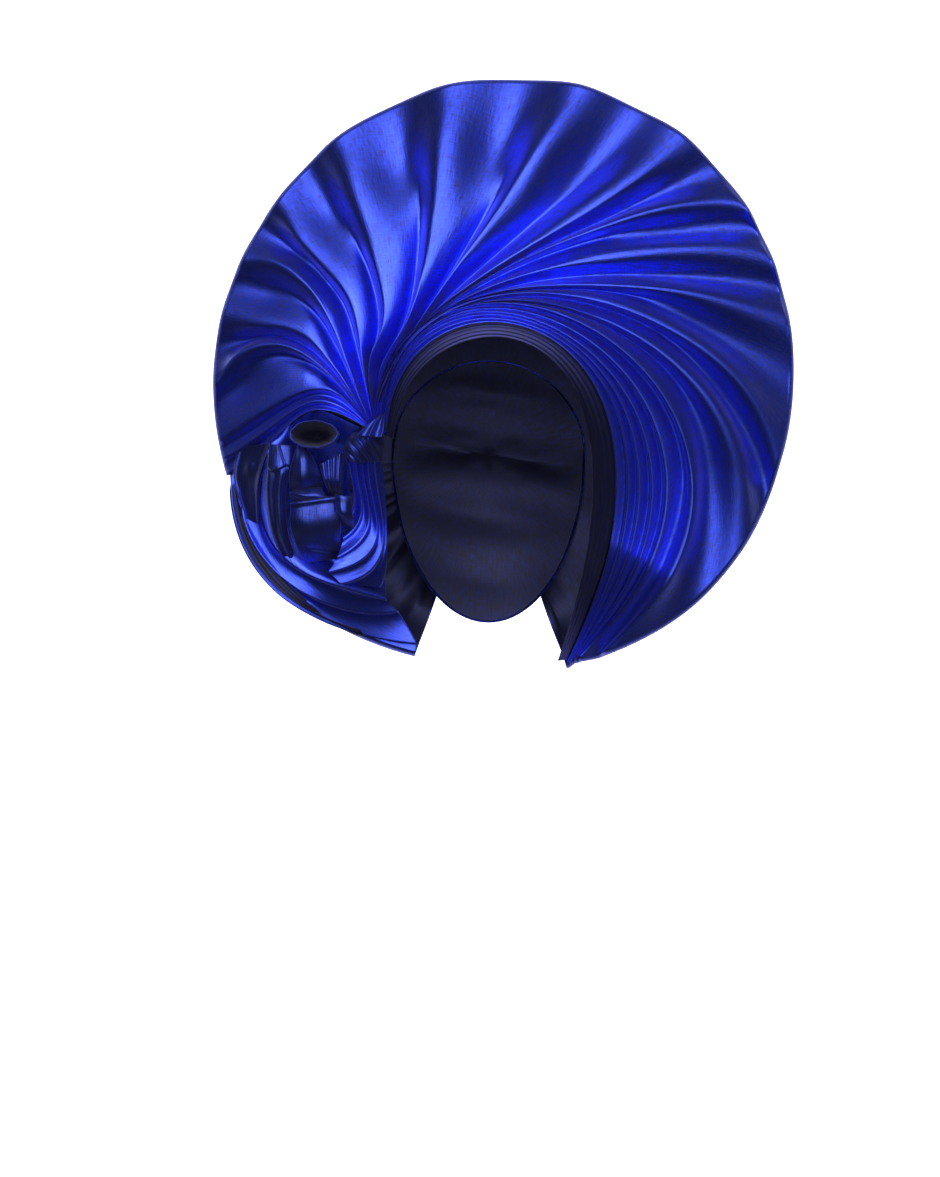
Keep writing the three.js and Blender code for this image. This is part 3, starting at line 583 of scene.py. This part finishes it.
def shell_rows(base, shift, outward, seed):
    """Rows of a shell: its front as given, then the turn at the rim, the sheet behind and its hem."""
    rows = [base + shift]
    edge, out_way, lift = base[-1], outward[-1], shift[-1]
    for k in range(1, TURN_ROWS + 1):
        part = k / TURN_ROWS
        place = turned_edge(edge, out_way, mix(TURN_START, TURN_END, part))
        rows.append((place + lift * mix(1, BACK_SHIFT, part))[None])
    bearing = polar(edge[:, [0, 2]])[0]
    still = np.zeros_like(bearing)
    gather = sum(
        high * lattice_noise(bearing * to_a_radian, still, seed + k)
        for k, (high, to_a_radian) in enumerate(GATHERS))
    end = nape_places(place)
    for k in range(1, BACK_ROWS + 1):
        part = k / BACK_ROWS
        back = mix(place, end, part)
        gathered = math.sin(math.pi * part**GATHER_PLACE) ** GATHER_SPREAD
        back[:, 1] += BACK_PUFF * math.sin(math.pi * part) + gather * gathered
        rows.append((back + lift * BACK_SHIFT * (1 - BACK_FADE * part) * (1 - part))[None])
    nape = rows[-1]
    middle = np.array([NAPE["x"], 0.0, NAPE["z"]])
    for size, depth in NAPE_HEM:
        hem = mix(np.broadcast_to(middle, nape.shape), nape, size)
        hem[..., 1] = nape[..., 1] + depth
        rows.append(hem)
    return np.concatenate(rows)


def widened(values, reach):
    """Greatest of the neighbouring values along each row, smoothed over the same reach."""
    columns = np.arange(values.shape[1])
    near = [np.clip(columns + k, 0, len(columns) - 1) for k in range(-reach, reach + 1)]
    greatest = np.max([values[:, k] for k in near], axis=0)
    return np.mean([greatest[:, k] for k in near], axis=0)


# Lining: columns on each side whose valleys it clears, how far it moves outwards at the rim for each
# millimetre of its depth, and how much deeper it starts under the sheet behind
LINING_REACH = 10
LINING_OUT = -0.5
RIM_ROOM = 2.0


def lining_rows(base, outward, valley):
    """Rows of the fan's plain lining: behind the valleys in front, and inside the sheet behind."""
    deep = widened(valley, LINING_REACH) + LINING_DEPTH
    out = LINING_OUT * deep
    inset = np.stack([outward[..., 0] * out, deep, outward[..., 1] * out], axis=-1)
    along = np.arange(len(base)) / (len(base) - 1)
    inset[..., [0, 2]] *= rising(along, TILT_WAY)[:, None, None]
    rows = [base + inset]
    place = turned_edge(base[-1], outward[-1], TURN_END)
    end = nape_places(place)
    for k in range(BACK_ROWS + 1):
        part = k / BACK_ROWS
        row = mix(place, end, part)
        row[:, 1] += BACK_PUFF * math.sin(math.pi * part) - mix(deep[-1] + RIM_ROOM, LINING_DEPTH, part)
        rows.append(row[None])
    return np.concatenate(rows)


# Folded hem: how far each of its rows lies outside the edge and behind it, in widths of the hem
HEM_ROWS = [(0.5, 0.5), (0.0, 1.4), (-1.6, 1.9)]
BEHIND = np.array([0.0, 1.0, 0.0])


def hem_columns(places, side, width):
    """Adds a folded hem along the first (0) or last (-1) column: it turns back behind the sheet."""
    edge = places[:, side]
    inner = places[:, 1 if side == 0 else -2]
    way = edge - inner
    way /= np.maximum(np.linalg.norm(way, axis=-1, keepdims=True), 1e-6)
    hem = [(edge + way * out * width + BEHIND * back * width)[:, None] for out, back in HEM_ROWS]
    if side == 0:
        return np.concatenate([*hem[::-1], places], axis=1)
    return np.concatenate([places, *hem], axis=1)


def hem_rows(places, side, width):
    return np.swapaxes(hem_columns(np.swapaxes(places, 0, 1), side, width), 0, 1)


# The fan's lining keeps one row in four and one column in three
FAN_LINING_EVERY = (4, 3)
FAN_HEM = 1.0
FAN_SEED = 11


def make_fan():
    base, shift, outward, valley = fan_front()
    places = shell_rows(base, shift, outward, FAN_SEED)
    plain = lining_rows(base, outward, valley)
    reverse_side("fan_reverse", plain, every=FAN_LINING_EVERY, depth=0.0)
    for side in (0, -1):
        places = hem_columns(places, side, FAN_HEM)
    piece = grid_piece("fan_cloth", places, satin, *cloth_run(places), flip=inward_faces(places))
    settle(piece, "fan")


# Lower sweep: its mesh, where each valley lies on the way to the next fold, how sharply it turns, how
# far and from which fold on the crests lean over it, and how much of an inner fold's lift is left at
# the upper end
SWEEP_COLUMNS = 22
SWEEP_STATIONS = 150
SWEEP_SEED = 31
SWEEP_HEM = 1.0
SWEEP_LOW = 0.38
SWEEP_TURN = 1.2
SWEEP_LEAN = 0.22
SWEEP_LEAN_FROM = 2
SWEEP_START_LIFT = 0.5
# Where the folds sink to part of their height, and where they tilt outwards, counted in folds
SWEEP_SINK_WAY = (0.7, 0.3)
SWEEP_SINK = 0.5
SWEEP_TILT = (3.0, 2.0)
# Soft creases: height, how many to a fold, how many along it, seed, pitch at which they are full
SWEEP_CREASES = (0.9, 2.1, 6, 21, 20.0)


def sweep_front(rows, stations):
    """Bare places, shift and way outwards of the sweep; its rows run from the inner fold to the rim."""
    along = np.linspace(0.0, 1.0, stations)
    rim = rim_place(mix(SWEEP_RIM[0], SWEEP_RIM[1], along))
    lines = np.array([curve_through(fold[:4], stations) for fold in SWEEP_FOLDS] + [rim])
    lift_of = np.array([fold[4] for fold in SWEEP_FOLDS] + [0.0])
    valley_of = np.array([fold[5] for fold in SWEEP_FOLDS])
    row, station = np.meshgrid(rows, np.arange(stations), indexing="ij")
    along = along[station]
    i = np.minimum(np.floor(row).astype(int), len(SWEEP_FOLDS) - 1)
    part = row - i
    a, b = lines[i, station], lines[i + 1, station]
    pitch = np.linalg.norm(a - b, axis=-1)
    turn = np.where(part < SWEEP_LOW, part / SWEEP_LOW, (1 - part) / (1 - SWEEP_LOW)) * 0.5
    dip = np.sin(np.pi * turn) ** SWEEP_TURN
    hidden = 1 - smooth(along / SWEEP_EMERGE)
    lean = SWEEP_LEAN * (1 - hidden) * (i >= SWEEP_LEAN_FROM)
    place = mix(a, b, (part - lean * dip * (part > 0))[..., None])

    squeeze = pitch / (pitch + PACKED_PITCH / 2)
    lift = mix(lift_of[i], lift_of[i + 1], smooth(part))
    start_lift = np.minimum(lift, 0) * SWEEP_START_LIFT
    open_height = mix(lift - valley_of[i] * squeeze * dip, start_lift, hidden)
    height = open_height * (1 - SWEEP_SINK * rising(along, SWEEP_SINK_WAY)) - SWEEP_TUCK * hidden
    high, to_a_fold, to_the_end, seed, full_pitch = SWEEP_CREASES
    creases = high * lattice_noise(row * to_a_fold, along * to_the_end, seed)
    height += creases * smooth(pitch / full_pitch) * (1 - hidden)

    outward = way_out(rim)
    tilt = TURN_START * rising(row, SWEEP_TILT)
    out = outward[station]
    sideways = height * np.sin(tilt)
    shift = np.stack([out[..., 0] * sideways, -height * np.cos(tilt), out[..., 1] * sideways], axis=-1)
    return on_front(place), shift, np.broadcast_to(outward, place.shape)


def make_sweep():
    rows = np.linspace(0.0, len(SWEEP_FOLDS), len(SWEEP_FOLDS) * SWEEP_COLUMNS + 1)
    places = shell_rows(*sweep_front(rows, SWEEP_STATIONS), SWEEP_SEED)
    reverse_side("sweep_reverse", places[:-len(NAPE_HEM)])
    places = hem_columns(places, -1, SWEEP_HEM)
    # The folds run along the rows here, so the two distances change places
    along, across = cloth_run(places)
    piece = grid_piece("sweep_cloth", places, satin, across, along, flip=inward_faces(places))
    settle(piece, "lower_sweep")


# Temple pleats: their mesh, how far a crest leans over the next valley, the part of a valley's depth at
# the knot and the part of the way on which it becomes full, and the hem
PLEAT_ROWS = 130
PLEAT_COLUMNS = 18
PLEAT_LEAN = 0.3
PLEAT_START = 0.5
PLEAT_START_WAY = 0.25
PLEAT_HEM = 0.9


def make_pleats():
    lines = np.array([curve_through(pleat[:4], PLEAT_ROWS) for pleat in TEMPLE_PLEATS])
    lift_of = np.array([pleat[4] for pleat in TEMPLE_PLEATS])
    last = len(TEMPLE_PLEATS) - 1
    column, row = np.meshgrid(np.linspace(0.0, last, last * PLEAT_COLUMNS + 1), np.arange(PLEAT_ROWS))
    along = row / (PLEAT_ROWS - 1)
    i = np.minimum(np.floor(column).astype(int), last - 1)
    part = column - i
    dip = np.sin(np.pi * part)
    shifted = np.clip(column + PLEAT_LEAN * dip * (part > 0), 0, last)
    j = np.minimum(np.floor(shifted).astype(int), last - 1)
    places = on_front(mix(lines[j, row], lines[j + 1, row], (shifted - j)[..., None]))
    fade = mix(PLEAT_START, 1.0, smooth(along / PLEAT_START_WAY))
    places[..., 1] += PLEAT_VALLEY * dip * fade - mix(lift_of[i], lift_of[i + 1], part)
    for side in (0, -1):
        places = hem_columns(places, side, PLEAT_HEM)
    piece = grid_piece("temple_pleats_cloth", places, satin, *cloth_run(places), flip=inward_faces(places))
    settle(piece, "temple_pleats")


# Band on the brow: its edge round the face, its end at the rim in degrees, its height over the front
# sheet, its lengthwise ribs, and how far it reaches under the first pleat, 1 being that pleat's ridge
BAND_EDGE = [(-62, -43), (-13, 15), (56, -20)]
BAND_RIM = -78.5
BAND_RELIEF = 1.5
BAND_RIBS = 4
RIB_HEIGHT = 0.45
RIB_SINK = 0.3
BAND_TUCK = 1.02
BAND_ROWS = 260
BAND_COLUMNS = 41
BAND_HEM = 1.1


def make_band():
    edge = curve_through([*BAND_EDGE, tuple(rim_place(BAND_RIM))], BAND_ROWS)
    ridge = ridge_grid(BAND_ROWS)[0]
    across = np.linspace(0.0, BAND_TUCK, BAND_COLUMNS)
    places = on_front(mix(edge[:, None], ridge[:, None], across[None, :, None]))
    rib = RIB_HEIGHT * np.abs(np.cos(np.pi * BAND_RIBS * across))
    places[..., 1] -= BAND_RELIEF + rib - RIB_SINK
    places = hem_columns(places, 0, BAND_HEM)
    piece = grid_piece("brow_band_cloth", places, band_cloth, *cloth_run(places), flip=inward_faces(places))
    settle(piece, "brow_band")


# Wrap over the back of the head: its size beside the nape opening, how deep it is set in, its shallow
# folds with the slant that they have for each millimetre sideways, and soft creases on them
DOME_TURNS = 180
DOME_RINGS = 60
RING_SPREAD = 0.9
DOME_OVERLAP = 1.05
DOME_DROP = 4.6
DOME_FOLDS = 5
DOME_SLANT = 0.02
DOME_RELIEF = 2.5
DOME_TURN = 1.3
# Height, how many to a millimetre across and down, seed
DOME_CREASES = (0.5, 0.06, 0.16, 41)


def make_back_wrap():
    rings = np.linspace(0.0, 1.0, DOME_RINGS) ** RING_SPREAD
    out, turn = np.meshgrid(rings, np.arange(DOME_TURNS) / DOME_TURNS, indexing="ij")
    angle = turn * 2 * np.pi
    radius = egg_radius(NAPE, angle) * out * DOME_OVERLAP
    x, z = NAPE["x"] + radius * np.cos(angle), NAPE["z"] + radius * np.sin(angle)
    edge = BACK_DEPTH - NAPE_STEP * smooth(-np.sin(angle))
    crown = (HEAD_BACK_DEPTH - edge) * (1 - out**2)
    wave = (z / NAPE["below"]) * np.pi * DOME_FOLDS + x * DOME_SLANT
    high, across, down, seed = DOME_CREASES
    fold = DOME_RELIEF * (1 - 2 * np.abs(np.sin(wave / 2)) ** DOME_TURN)
    fold += high * lattice_noise(x * across, z * down, seed)
    places = np.stack([x, edge + crown + fold * (1 - out**4) - DOME_DROP, z], axis=-1)
    reverse_side("back_wrap_reverse", places, loops=True)
    piece = grid_piece("back_wrap_cloth", places, satin, x, z, loops=True, flip=inward_faces(places))
    settle(piece, "back_wrap")


# Small folded pieces of the knot and the rosette. Each row is a section from its left end to its right
# end (x, y, z), bulging forward by crown; the sections follow each other down the piece.
SECTIONS = {
    "knot_wrap": [
        ((-88, -44, -40), (-70, -46, -37), 4),
        ((-92, -42, -45), (-68, -44, -42), 12),
        ((-93, -40, -52), (-68, -38, -49), 14),
        ((-91, -36, -59), (-70, -34, -57), 8),
    ],
    "rosette_wing": [
        ((-166, -4, -47), (-141, -27, -45), 7),
        ((-169, 1, -66), (-149, -21, -70), 10),
        ((-161, 0, -92), (-151, -8, -97), 6),
    ],
    "rosette_strap": [
        ((-141, -40, -47), (-127, -44, -48), 3),
        ((-142, -44, -62), (-128, -48, -63), 3),
        ((-144, -36, -78), (-131, -40, -78), 5),
        ((-142, -24, -102), (-131, -28, -102), 5),
        ((-135, -5, -121), (-127, -7, -120), 3),
    ],
    "rosette_triangle": [
        ((-123, -44, -47), (-119, -44, -46), 1),
        ((-127, -44, -60), (-112, -46, -58), 4),
        ((-129, -36, -73), (-108, -40, -70), 6),
        ((-127, -7, -81), (-108, -11, -79), 4),
    ],
    "rosette_lip": [
        ((-129, -34, -76), (-109, -38, -74), 3),
        ((-128, -34, -80), (-103, -36, -83), 5),
        ((-127, -6, -85), (-103, -9, -87), 3),
    ],
    "rosette_pocket": [
        ((-128, -36, -84), (-97, -40, -80), 5),
        ((-128, -33, -100), (-96, -37, -98), 6),
        ((-122, -8, -122), (-99, -3, -119), 4),
    ],
    "rosette_tab": [
        ((-99, -42, -79), (-89, -44, -81), 2),
        ((-98, -42, -90), (-88, -40, -95), 3),
        ((-97, -14, -97), (-89, -16, -101), 1),
    ],
    "rosette_fan": [
        ((-109, -42, -60), (-94, -40, -52), 3),
        ((-106, -42, -71), (-95, -38, -73), 4),
        ((-104, -11, -79), (-96, -11, -82), 2),
    ],
    "knot_tail": [
        ((-84, -60, -42), (-69, -56, -43), 1),
        ((-79, -58, -37), (-66, -55, -37), 1),
        ((-70, -56, -29), (-66, -55, -28), 1),
    ],
}


def along_sections(values, t):
    """Smooth line through values at whole steps of t."""
    values = np.array(values, float)
    padded = np.concatenate([2 * values[:1] - values[1:2], values, 2 * values[-1:] - values[-2:-1]])
    i = np.clip(np.floor(t).astype(int), 0, len(values) - 2)
    k = (t - i).reshape(t.shape + (1,) * (values.ndim - 1))
    a, b, c, d = padded[i], padded[i + 1], padded[i + 2], padded[i + 3]
    return 0.5 * (2 * b + (c - a) * k + (2 * a - 5 * b + 4 * c - d) * k**2 + (3 * b - a - 3 * c + d) * k**3)


# Heights of the folds on the small pieces in millimetres, minus for a hollow. The functions after them
# lay the folds out in parts of the way down and across each piece.
KNOT_FOLD, KNOT_SWELL = 1.8, 1.2
WING_DISH, WING_LEFT_EDGE, WING_RIGHT_EDGE, WING_KNOB = -9.0, 2.2, 3.4, 2.6
STRAP_FLAP, STRAP_PLEAT, STRAP_CREASE = 2.6, 1.1, -1.1
TRIANGLE_RIDGE, TRIANGLE_WAVE = 3.4, 0.6
LIP_ROLL, LIP_WAVE = 3.2, 0.5
POCKET_MOUTH, POCKET_CREASE, POCKET_WAVE = 2.4, -2.2, 0.9
TAB_RIDGE, TAB_EDGE = 1.6, 1.0
SMALL_FAN_PLEAT, TAIL_FOLD = 1.7, 1.5


def pleated(waves, turn):
    """Pleats with a sharp valley at each whole wave, from 0 there to 1 halfway."""
    return np.abs(np.sin(np.pi * waves)) ** turn


def ridge_across(across, crest):
    """Straight slopes that rise to 1 at the crest and reach 0 at the right edge."""
    return 1 - np.abs(across - crest) / (1 - crest)


def knot_folds(down, across):
    slanting = 1 - 2 * pleated((across * 1.3 - down * 0.9) * 3.4, 1.4)
    return KNOT_FOLD * slanting * np.sin(np.pi * across) ** 0.5 + KNOT_SWELL


def wing_cup(down, across):
    dish = WING_DISH * np.sin(np.pi * across) ** 1.2 * np.sin(np.pi * (0.12 + 0.8 * down)) ** 0.7
    edges = WING_LEFT_EDGE * bump_at(across, 0.06, 0.06) + WING_RIGHT_EDGE * bump_at(across, 0.93, 0.07)
    knob = WING_KNOB * bump_at(across, 0.52, 0.16) * bump_at(down, 0.3, 0.12)
    return dish + edges + knob


def strap_flap(down, across):
    flap_end = 0.235 + 0.035 * np.sin(across * 5)
    flap = STRAP_FLAP * (1 - rising(down, (flap_end, 0.02)))
    pleats = STRAP_PLEAT * np.sin(2 * np.pi * (across * 1.6 + 0.1)) * rising(down, (0.22, 0.1))
    crease = STRAP_CREASE * bump_at(across - 0.45 * down / 0.24, 0.42, 0.05)
    return flap + pleats + crease * (1 - rising(down, (0.2, 0.05)))


def triangle_fold(down, across):
    ridge = TRIANGLE_RIDGE * ridge_across(across, 0.42) * smooth(down / 0.3)
    return ridge + TRIANGLE_WAVE * np.sin(9 * across + 6 * down)


def lip_roll(down, across):
    roll = LIP_ROLL * np.sin(np.pi * np.clip(down * 1.7, 0, 1))
    return roll + LIP_WAVE * np.sin(11 * across - 5 * down)


def pocket_folds(down, across):
    mouth = POCKET_MOUTH * bump_at(down, 0.03, 0.05)
    crease = POCKET_CREASE * bump_at(down - 0.12 * across, 0.78, 0.035) * rising(across, (0.15, 0.2))
    soft = POCKET_WAVE * np.sin(2 * np.pi * across * 1.4 + 0.6) * (1 - down)
    return mouth + crease + soft


def tab_fold(down, across):
    return TAB_RIDGE * ridge_across(across, 0.35) + TAB_EDGE * bump_at(down, 0.05, 0.08)


def fan_pleats(down, across):
    return SMALL_FAN_PLEAT * pleated(across * 4.0 + 0.3 * down, 1.3)


def tail_folds(down, across):
    return TAIL_FOLD * (1 - 2 * pleated(across * 2.0 + 0.5 * down, 1.2))


# Relief of each small piece, and the steps down and across its sheet
SMALL_PIECES = {
    "knot_wrap": (knot_folds, 90, 110),
    "rosette_wing": (wing_cup, 100, 70),
    "rosette_strap": (strap_flap, 150, 60),
    "rosette_triangle": (triangle_fold, 80, 50),
    "rosette_lip": (lip_roll, 60, 70),
    "rosette_pocket": (pocket_folds, 90, 70),
    "rosette_tab": (tab_fold, 60, 40),
    "rosette_fan": (fan_pleats, 60, 80),
    "knot_tail": (tail_folds, 60, 60),
}


# Hem of every small piece, how its crown is spread from side to side, and its soft creases: their
# height, how many lie down it and across it, and where they begin
SMALL_HEM = 0.9
CROWN_SPREAD = 0.85
SMALL_CREASES = (0.5, 4, 3, 7)


def make_small_piece(node):
    relief, rows, columns = SMALL_PIECES[node]
    sections = SECTIONS[node]
    down, across = np.meshgrid(np.linspace(0, 1, rows), np.linspace(0, 1, columns), indexing="ij")
    t = down * (len(sections) - 1)
    left, right, crown = (along_sections([section[k] for section in sections], t) for k in range(3))
    places = mix(left, right, across[..., None])
    high, down_it, across_it, start = SMALL_CREASES
    seed = sum(map(ord, node))
    creases = high * lattice_noise(down * down_it + start, across * across_it, seed)
    places[..., 1] -= crown * np.sin(np.pi * across) ** CROWN_SPREAD + relief(down, across) + creases
    for side in (0, -1):
        places = hem_columns(places, side, SMALL_HEM)
        places = hem_rows(places, side, SMALL_HEM)
    # The knot and rosette pieces take the darker satin copy, with its painted shade.
    piece = grid_piece(node + "_cloth", places, shaded_satin, *cloth_run(places), flip=inward_faces(places))
    settle(piece, node)


# Cup of the rosette: a short rolled tube with an oval mouth that faces forward
CUP = dict(x=-112.0, z=-41.0, half_width=15.0, half_height=8.5, mouth=-54.0)
# Rings of the cup, from its foot over the lip, and down inside: size and depth behind the mouth
CUP_RINGS = [(0.72, 34), (0.86, 24), (0.99, 12), (1.06, 4), (1.05, 1), (1.0, -0.6), (0.94, 0.2), (0.9, 2)]
CUP_INSIDE = [(0.92, 1.2), (0.88, 3), (0.8, 8), (0.66, 15), (0.45, 21), (0.2, 24), (0.02, 25)]
CUP_TURNS = 120
CUP_STEPS = 60
CUP_INSIDE_STEPS = 50
# Wrinkles round the cup (part of its radius, how many, where they begin), how far its two sides are
# pressed flat, and how far its mouth waves forward and back
CUP_WRINKLES = [(0.012, 9, 1), (0.01, 17, 0)]
CUP_SQUEEZE = 0.16
CUP_SQUEEZE_TURN = 6
MOUTH_SADDLE = 1.1
MOUTH_TILT = 0.7


def cup_grid(rings, steps):
    size, depth = along_sections(rings, np.linspace(0, len(rings) - 1, steps)).T
    angle = np.arange(CUP_TURNS) / CUP_TURNS * 2 * np.pi
    wrinkle = 1 + sum(high * np.sin(count * angle + start) for high, count, start in CUP_WRINKLES)
    squeeze = 1 - CUP_SQUEEZE * np.abs(np.cos(angle)) ** CUP_SQUEEZE_TURN
    x = CUP["x"] + CUP["half_width"] * np.outer(size, np.cos(angle) * wrinkle)
    z = CUP["z"] + CUP["half_height"] * np.outer(size, np.sin(angle) * wrinkle * squeeze)
    wave = MOUTH_SADDLE * np.cos(2 * angle) + MOUTH_TILT * np.sin(angle)
    y = CUP["mouth"] + depth[:, None] + wave[None, :]
    return np.stack([x, y, z], axis=-1)


def make_cup():
    outside = cup_grid(CUP_RINGS, CUP_STEPS)
    inside = cup_grid(CUP_INSIDE, CUP_INSIDE_STEPS)
    # Outside of the cup in the darker satin copy, with its painted shade.
    piece = grid_piece("rosette_cup_cloth", outside, shaded_satin, *cloth_run(outside), loops=True, flip=True)
    settle(piece, "rosette_cup")
    # Inside of the cup in the dark reverse, whose colour partly paints the shade in the hollow.
    lining = grid_piece("rosette_cup_reverse", inside, reverse_and_shade, *cloth_run(inside), loops=True, flip=True)
    settle(lining, None)


# Paper floor that bends up into a wall, far enough away to leave the views from behind and below free
FLOOR_Z = -2000.0
FLOOR_FRONT = -2600.0
WALL_Y = 2600.0
WALL_TOP = 2400.0
HALF_WIDTH = 3200.0
BEND = 320.0
BEND_STEPS = 12
PAPER_COLOR = (0.86, 0.86, 0.87)
PAPER_ROUGHNESS = 0.9
PAPER_GLOW = 0.9


def make_stage():
    profile = [(FLOOR_FRONT, FLOOR_Z), (WALL_Y - BEND, FLOOR_Z)]
    for k in range(1, BEND_STEPS + 1):
        angle = (k / BEND_STEPS) * math.pi / 2
        profile.append((WALL_Y - BEND + BEND * math.sin(angle), FLOOR_Z + BEND * (1 - math.cos(angle))))
    profile.append((WALL_Y, WALL_TOP))
    places = np.array([[(x, y, z) for x in (-HALF_WIDTH, 0.0, HALF_WIDTH)] for y, z in profile])
    material = paper("studio_paper", PAPER_COLOR, PAPER_ROUGHNESS, PAPER_GLOW)
    floor = grid_piece("studio_floor", places, material)
    floor.visible_glossy = False
    floor.visible_diffuse = False
    floor.visible_shadow = False


# Square key light that faces the origin: its place and side in metres, and its power in watts
KEY_PLACE = (-0.7, -1.7, 0.9)
KEY_SIDE = 0.8
KEY_POWER = 6.0


def make_key_light():
    data = bpy.data.lights.new("key", "AREA")
    data.shape = "RECTANGLE"
    data.size = KEY_SIDE
    data.size_y = KEY_SIDE
    data.energy = KEY_POWER
    light = bpy.data.objects.new("key", data)
    bpy.context.scene.collection.objects.link(light)
    light.visible_camera = False
    light.location = KEY_PLACE
    light.rotation_euler = (-Vector(KEY_PLACE)).to_track_quat("-Z", "Y").to_euler()


# Light of the room. Each patch has the direction of its middle, the cosines of the angles from it at
# which it ends and at which it is full, and its strength. The rest of the room has only a weak glow.
AIR_PATCHES = [
    ((0.06, -0.92, 0.38), 0.5, 0.86, 2.7),
    ((0.0, 1.0, 0.0), 0.45, 0.75, 0.9),
]
AIR_GLOW = 0.02
AIR_COLOR = (0.93, 0.95, 1.0, 1.0)


def make_air():
    """A wide soft patch of light in front, a smaller one behind, and dim walls between them."""
    world = bpy.data.worlds.new("studio_air")
    world.use_nodes = True
    nodes, links = world.node_tree.nodes, world.node_tree.links
    place = nodes.new("ShaderNodeTexCoord")

    def patch(middle, end, full, strength):
        toward = nodes.new("ShaderNodeVectorMath")
        toward.operation = "DOT_PRODUCT"
        toward.inputs[1].default_value = middle
        links.new(place.outputs["Generated"], toward.inputs[0])
        levels = {"From Min": end, "From Max": full, "To Min": 0.0, "To Max": strength}
        ramp = add_node(nodes, "ShaderNodeMapRange", levels)
        ramp.interpolation_type = "SMOOTHSTEP"
        links.new(toward.outputs["Value"], ramp.inputs["Value"])
        return ramp.outputs["Result"]

    def sum_node():
        node = nodes.new("ShaderNodeMath")
        node.operation = "ADD"
        return node

    total = sum_node()
    for values, socket in zip(AIR_PATCHES, total.inputs):
        links.new(patch(*values), socket)
    air = sum_node()
    air.inputs[1].default_value = AIR_GLOW
    links.new(total.outputs[0], air.inputs[0])
    background = nodes["Background"]
    background.inputs["Color"].default_value = AIR_COLOR
    links.new(air.outputs[0], background.inputs["Strength"])
    bpy.context.scene.world = world


def make_camera():
    data = bpy.data.cameras.new("camera")
    data.sensor_fit = "VERTICAL"
    data.sensor_height = SENSOR
    data.lens = SENSOR * CAMERA_DISTANCE / VIEW_HEIGHT
    camera = bpy.data.objects.new("camera", data)
    bpy.context.scene.collection.objects.link(camera)
    camera.location = (CAMERA_X * MM, -CAMERA_DISTANCE * MM, CAMERA_Z * MM)
    camera.rotation_euler = (math.pi / 2, 0.0, 0.0)
    bpy.context.scene.camera = camera


bpy.context.scene.view_settings.view_transform = "Standard"
make_camera()
make_stage()
make_key_light()
make_air()
make_fan()
make_sweep()
make_pleats()
make_band()
make_back_wrap()
for node in SMALL_PIECES:
    make_small_piece(node)
make_cup()
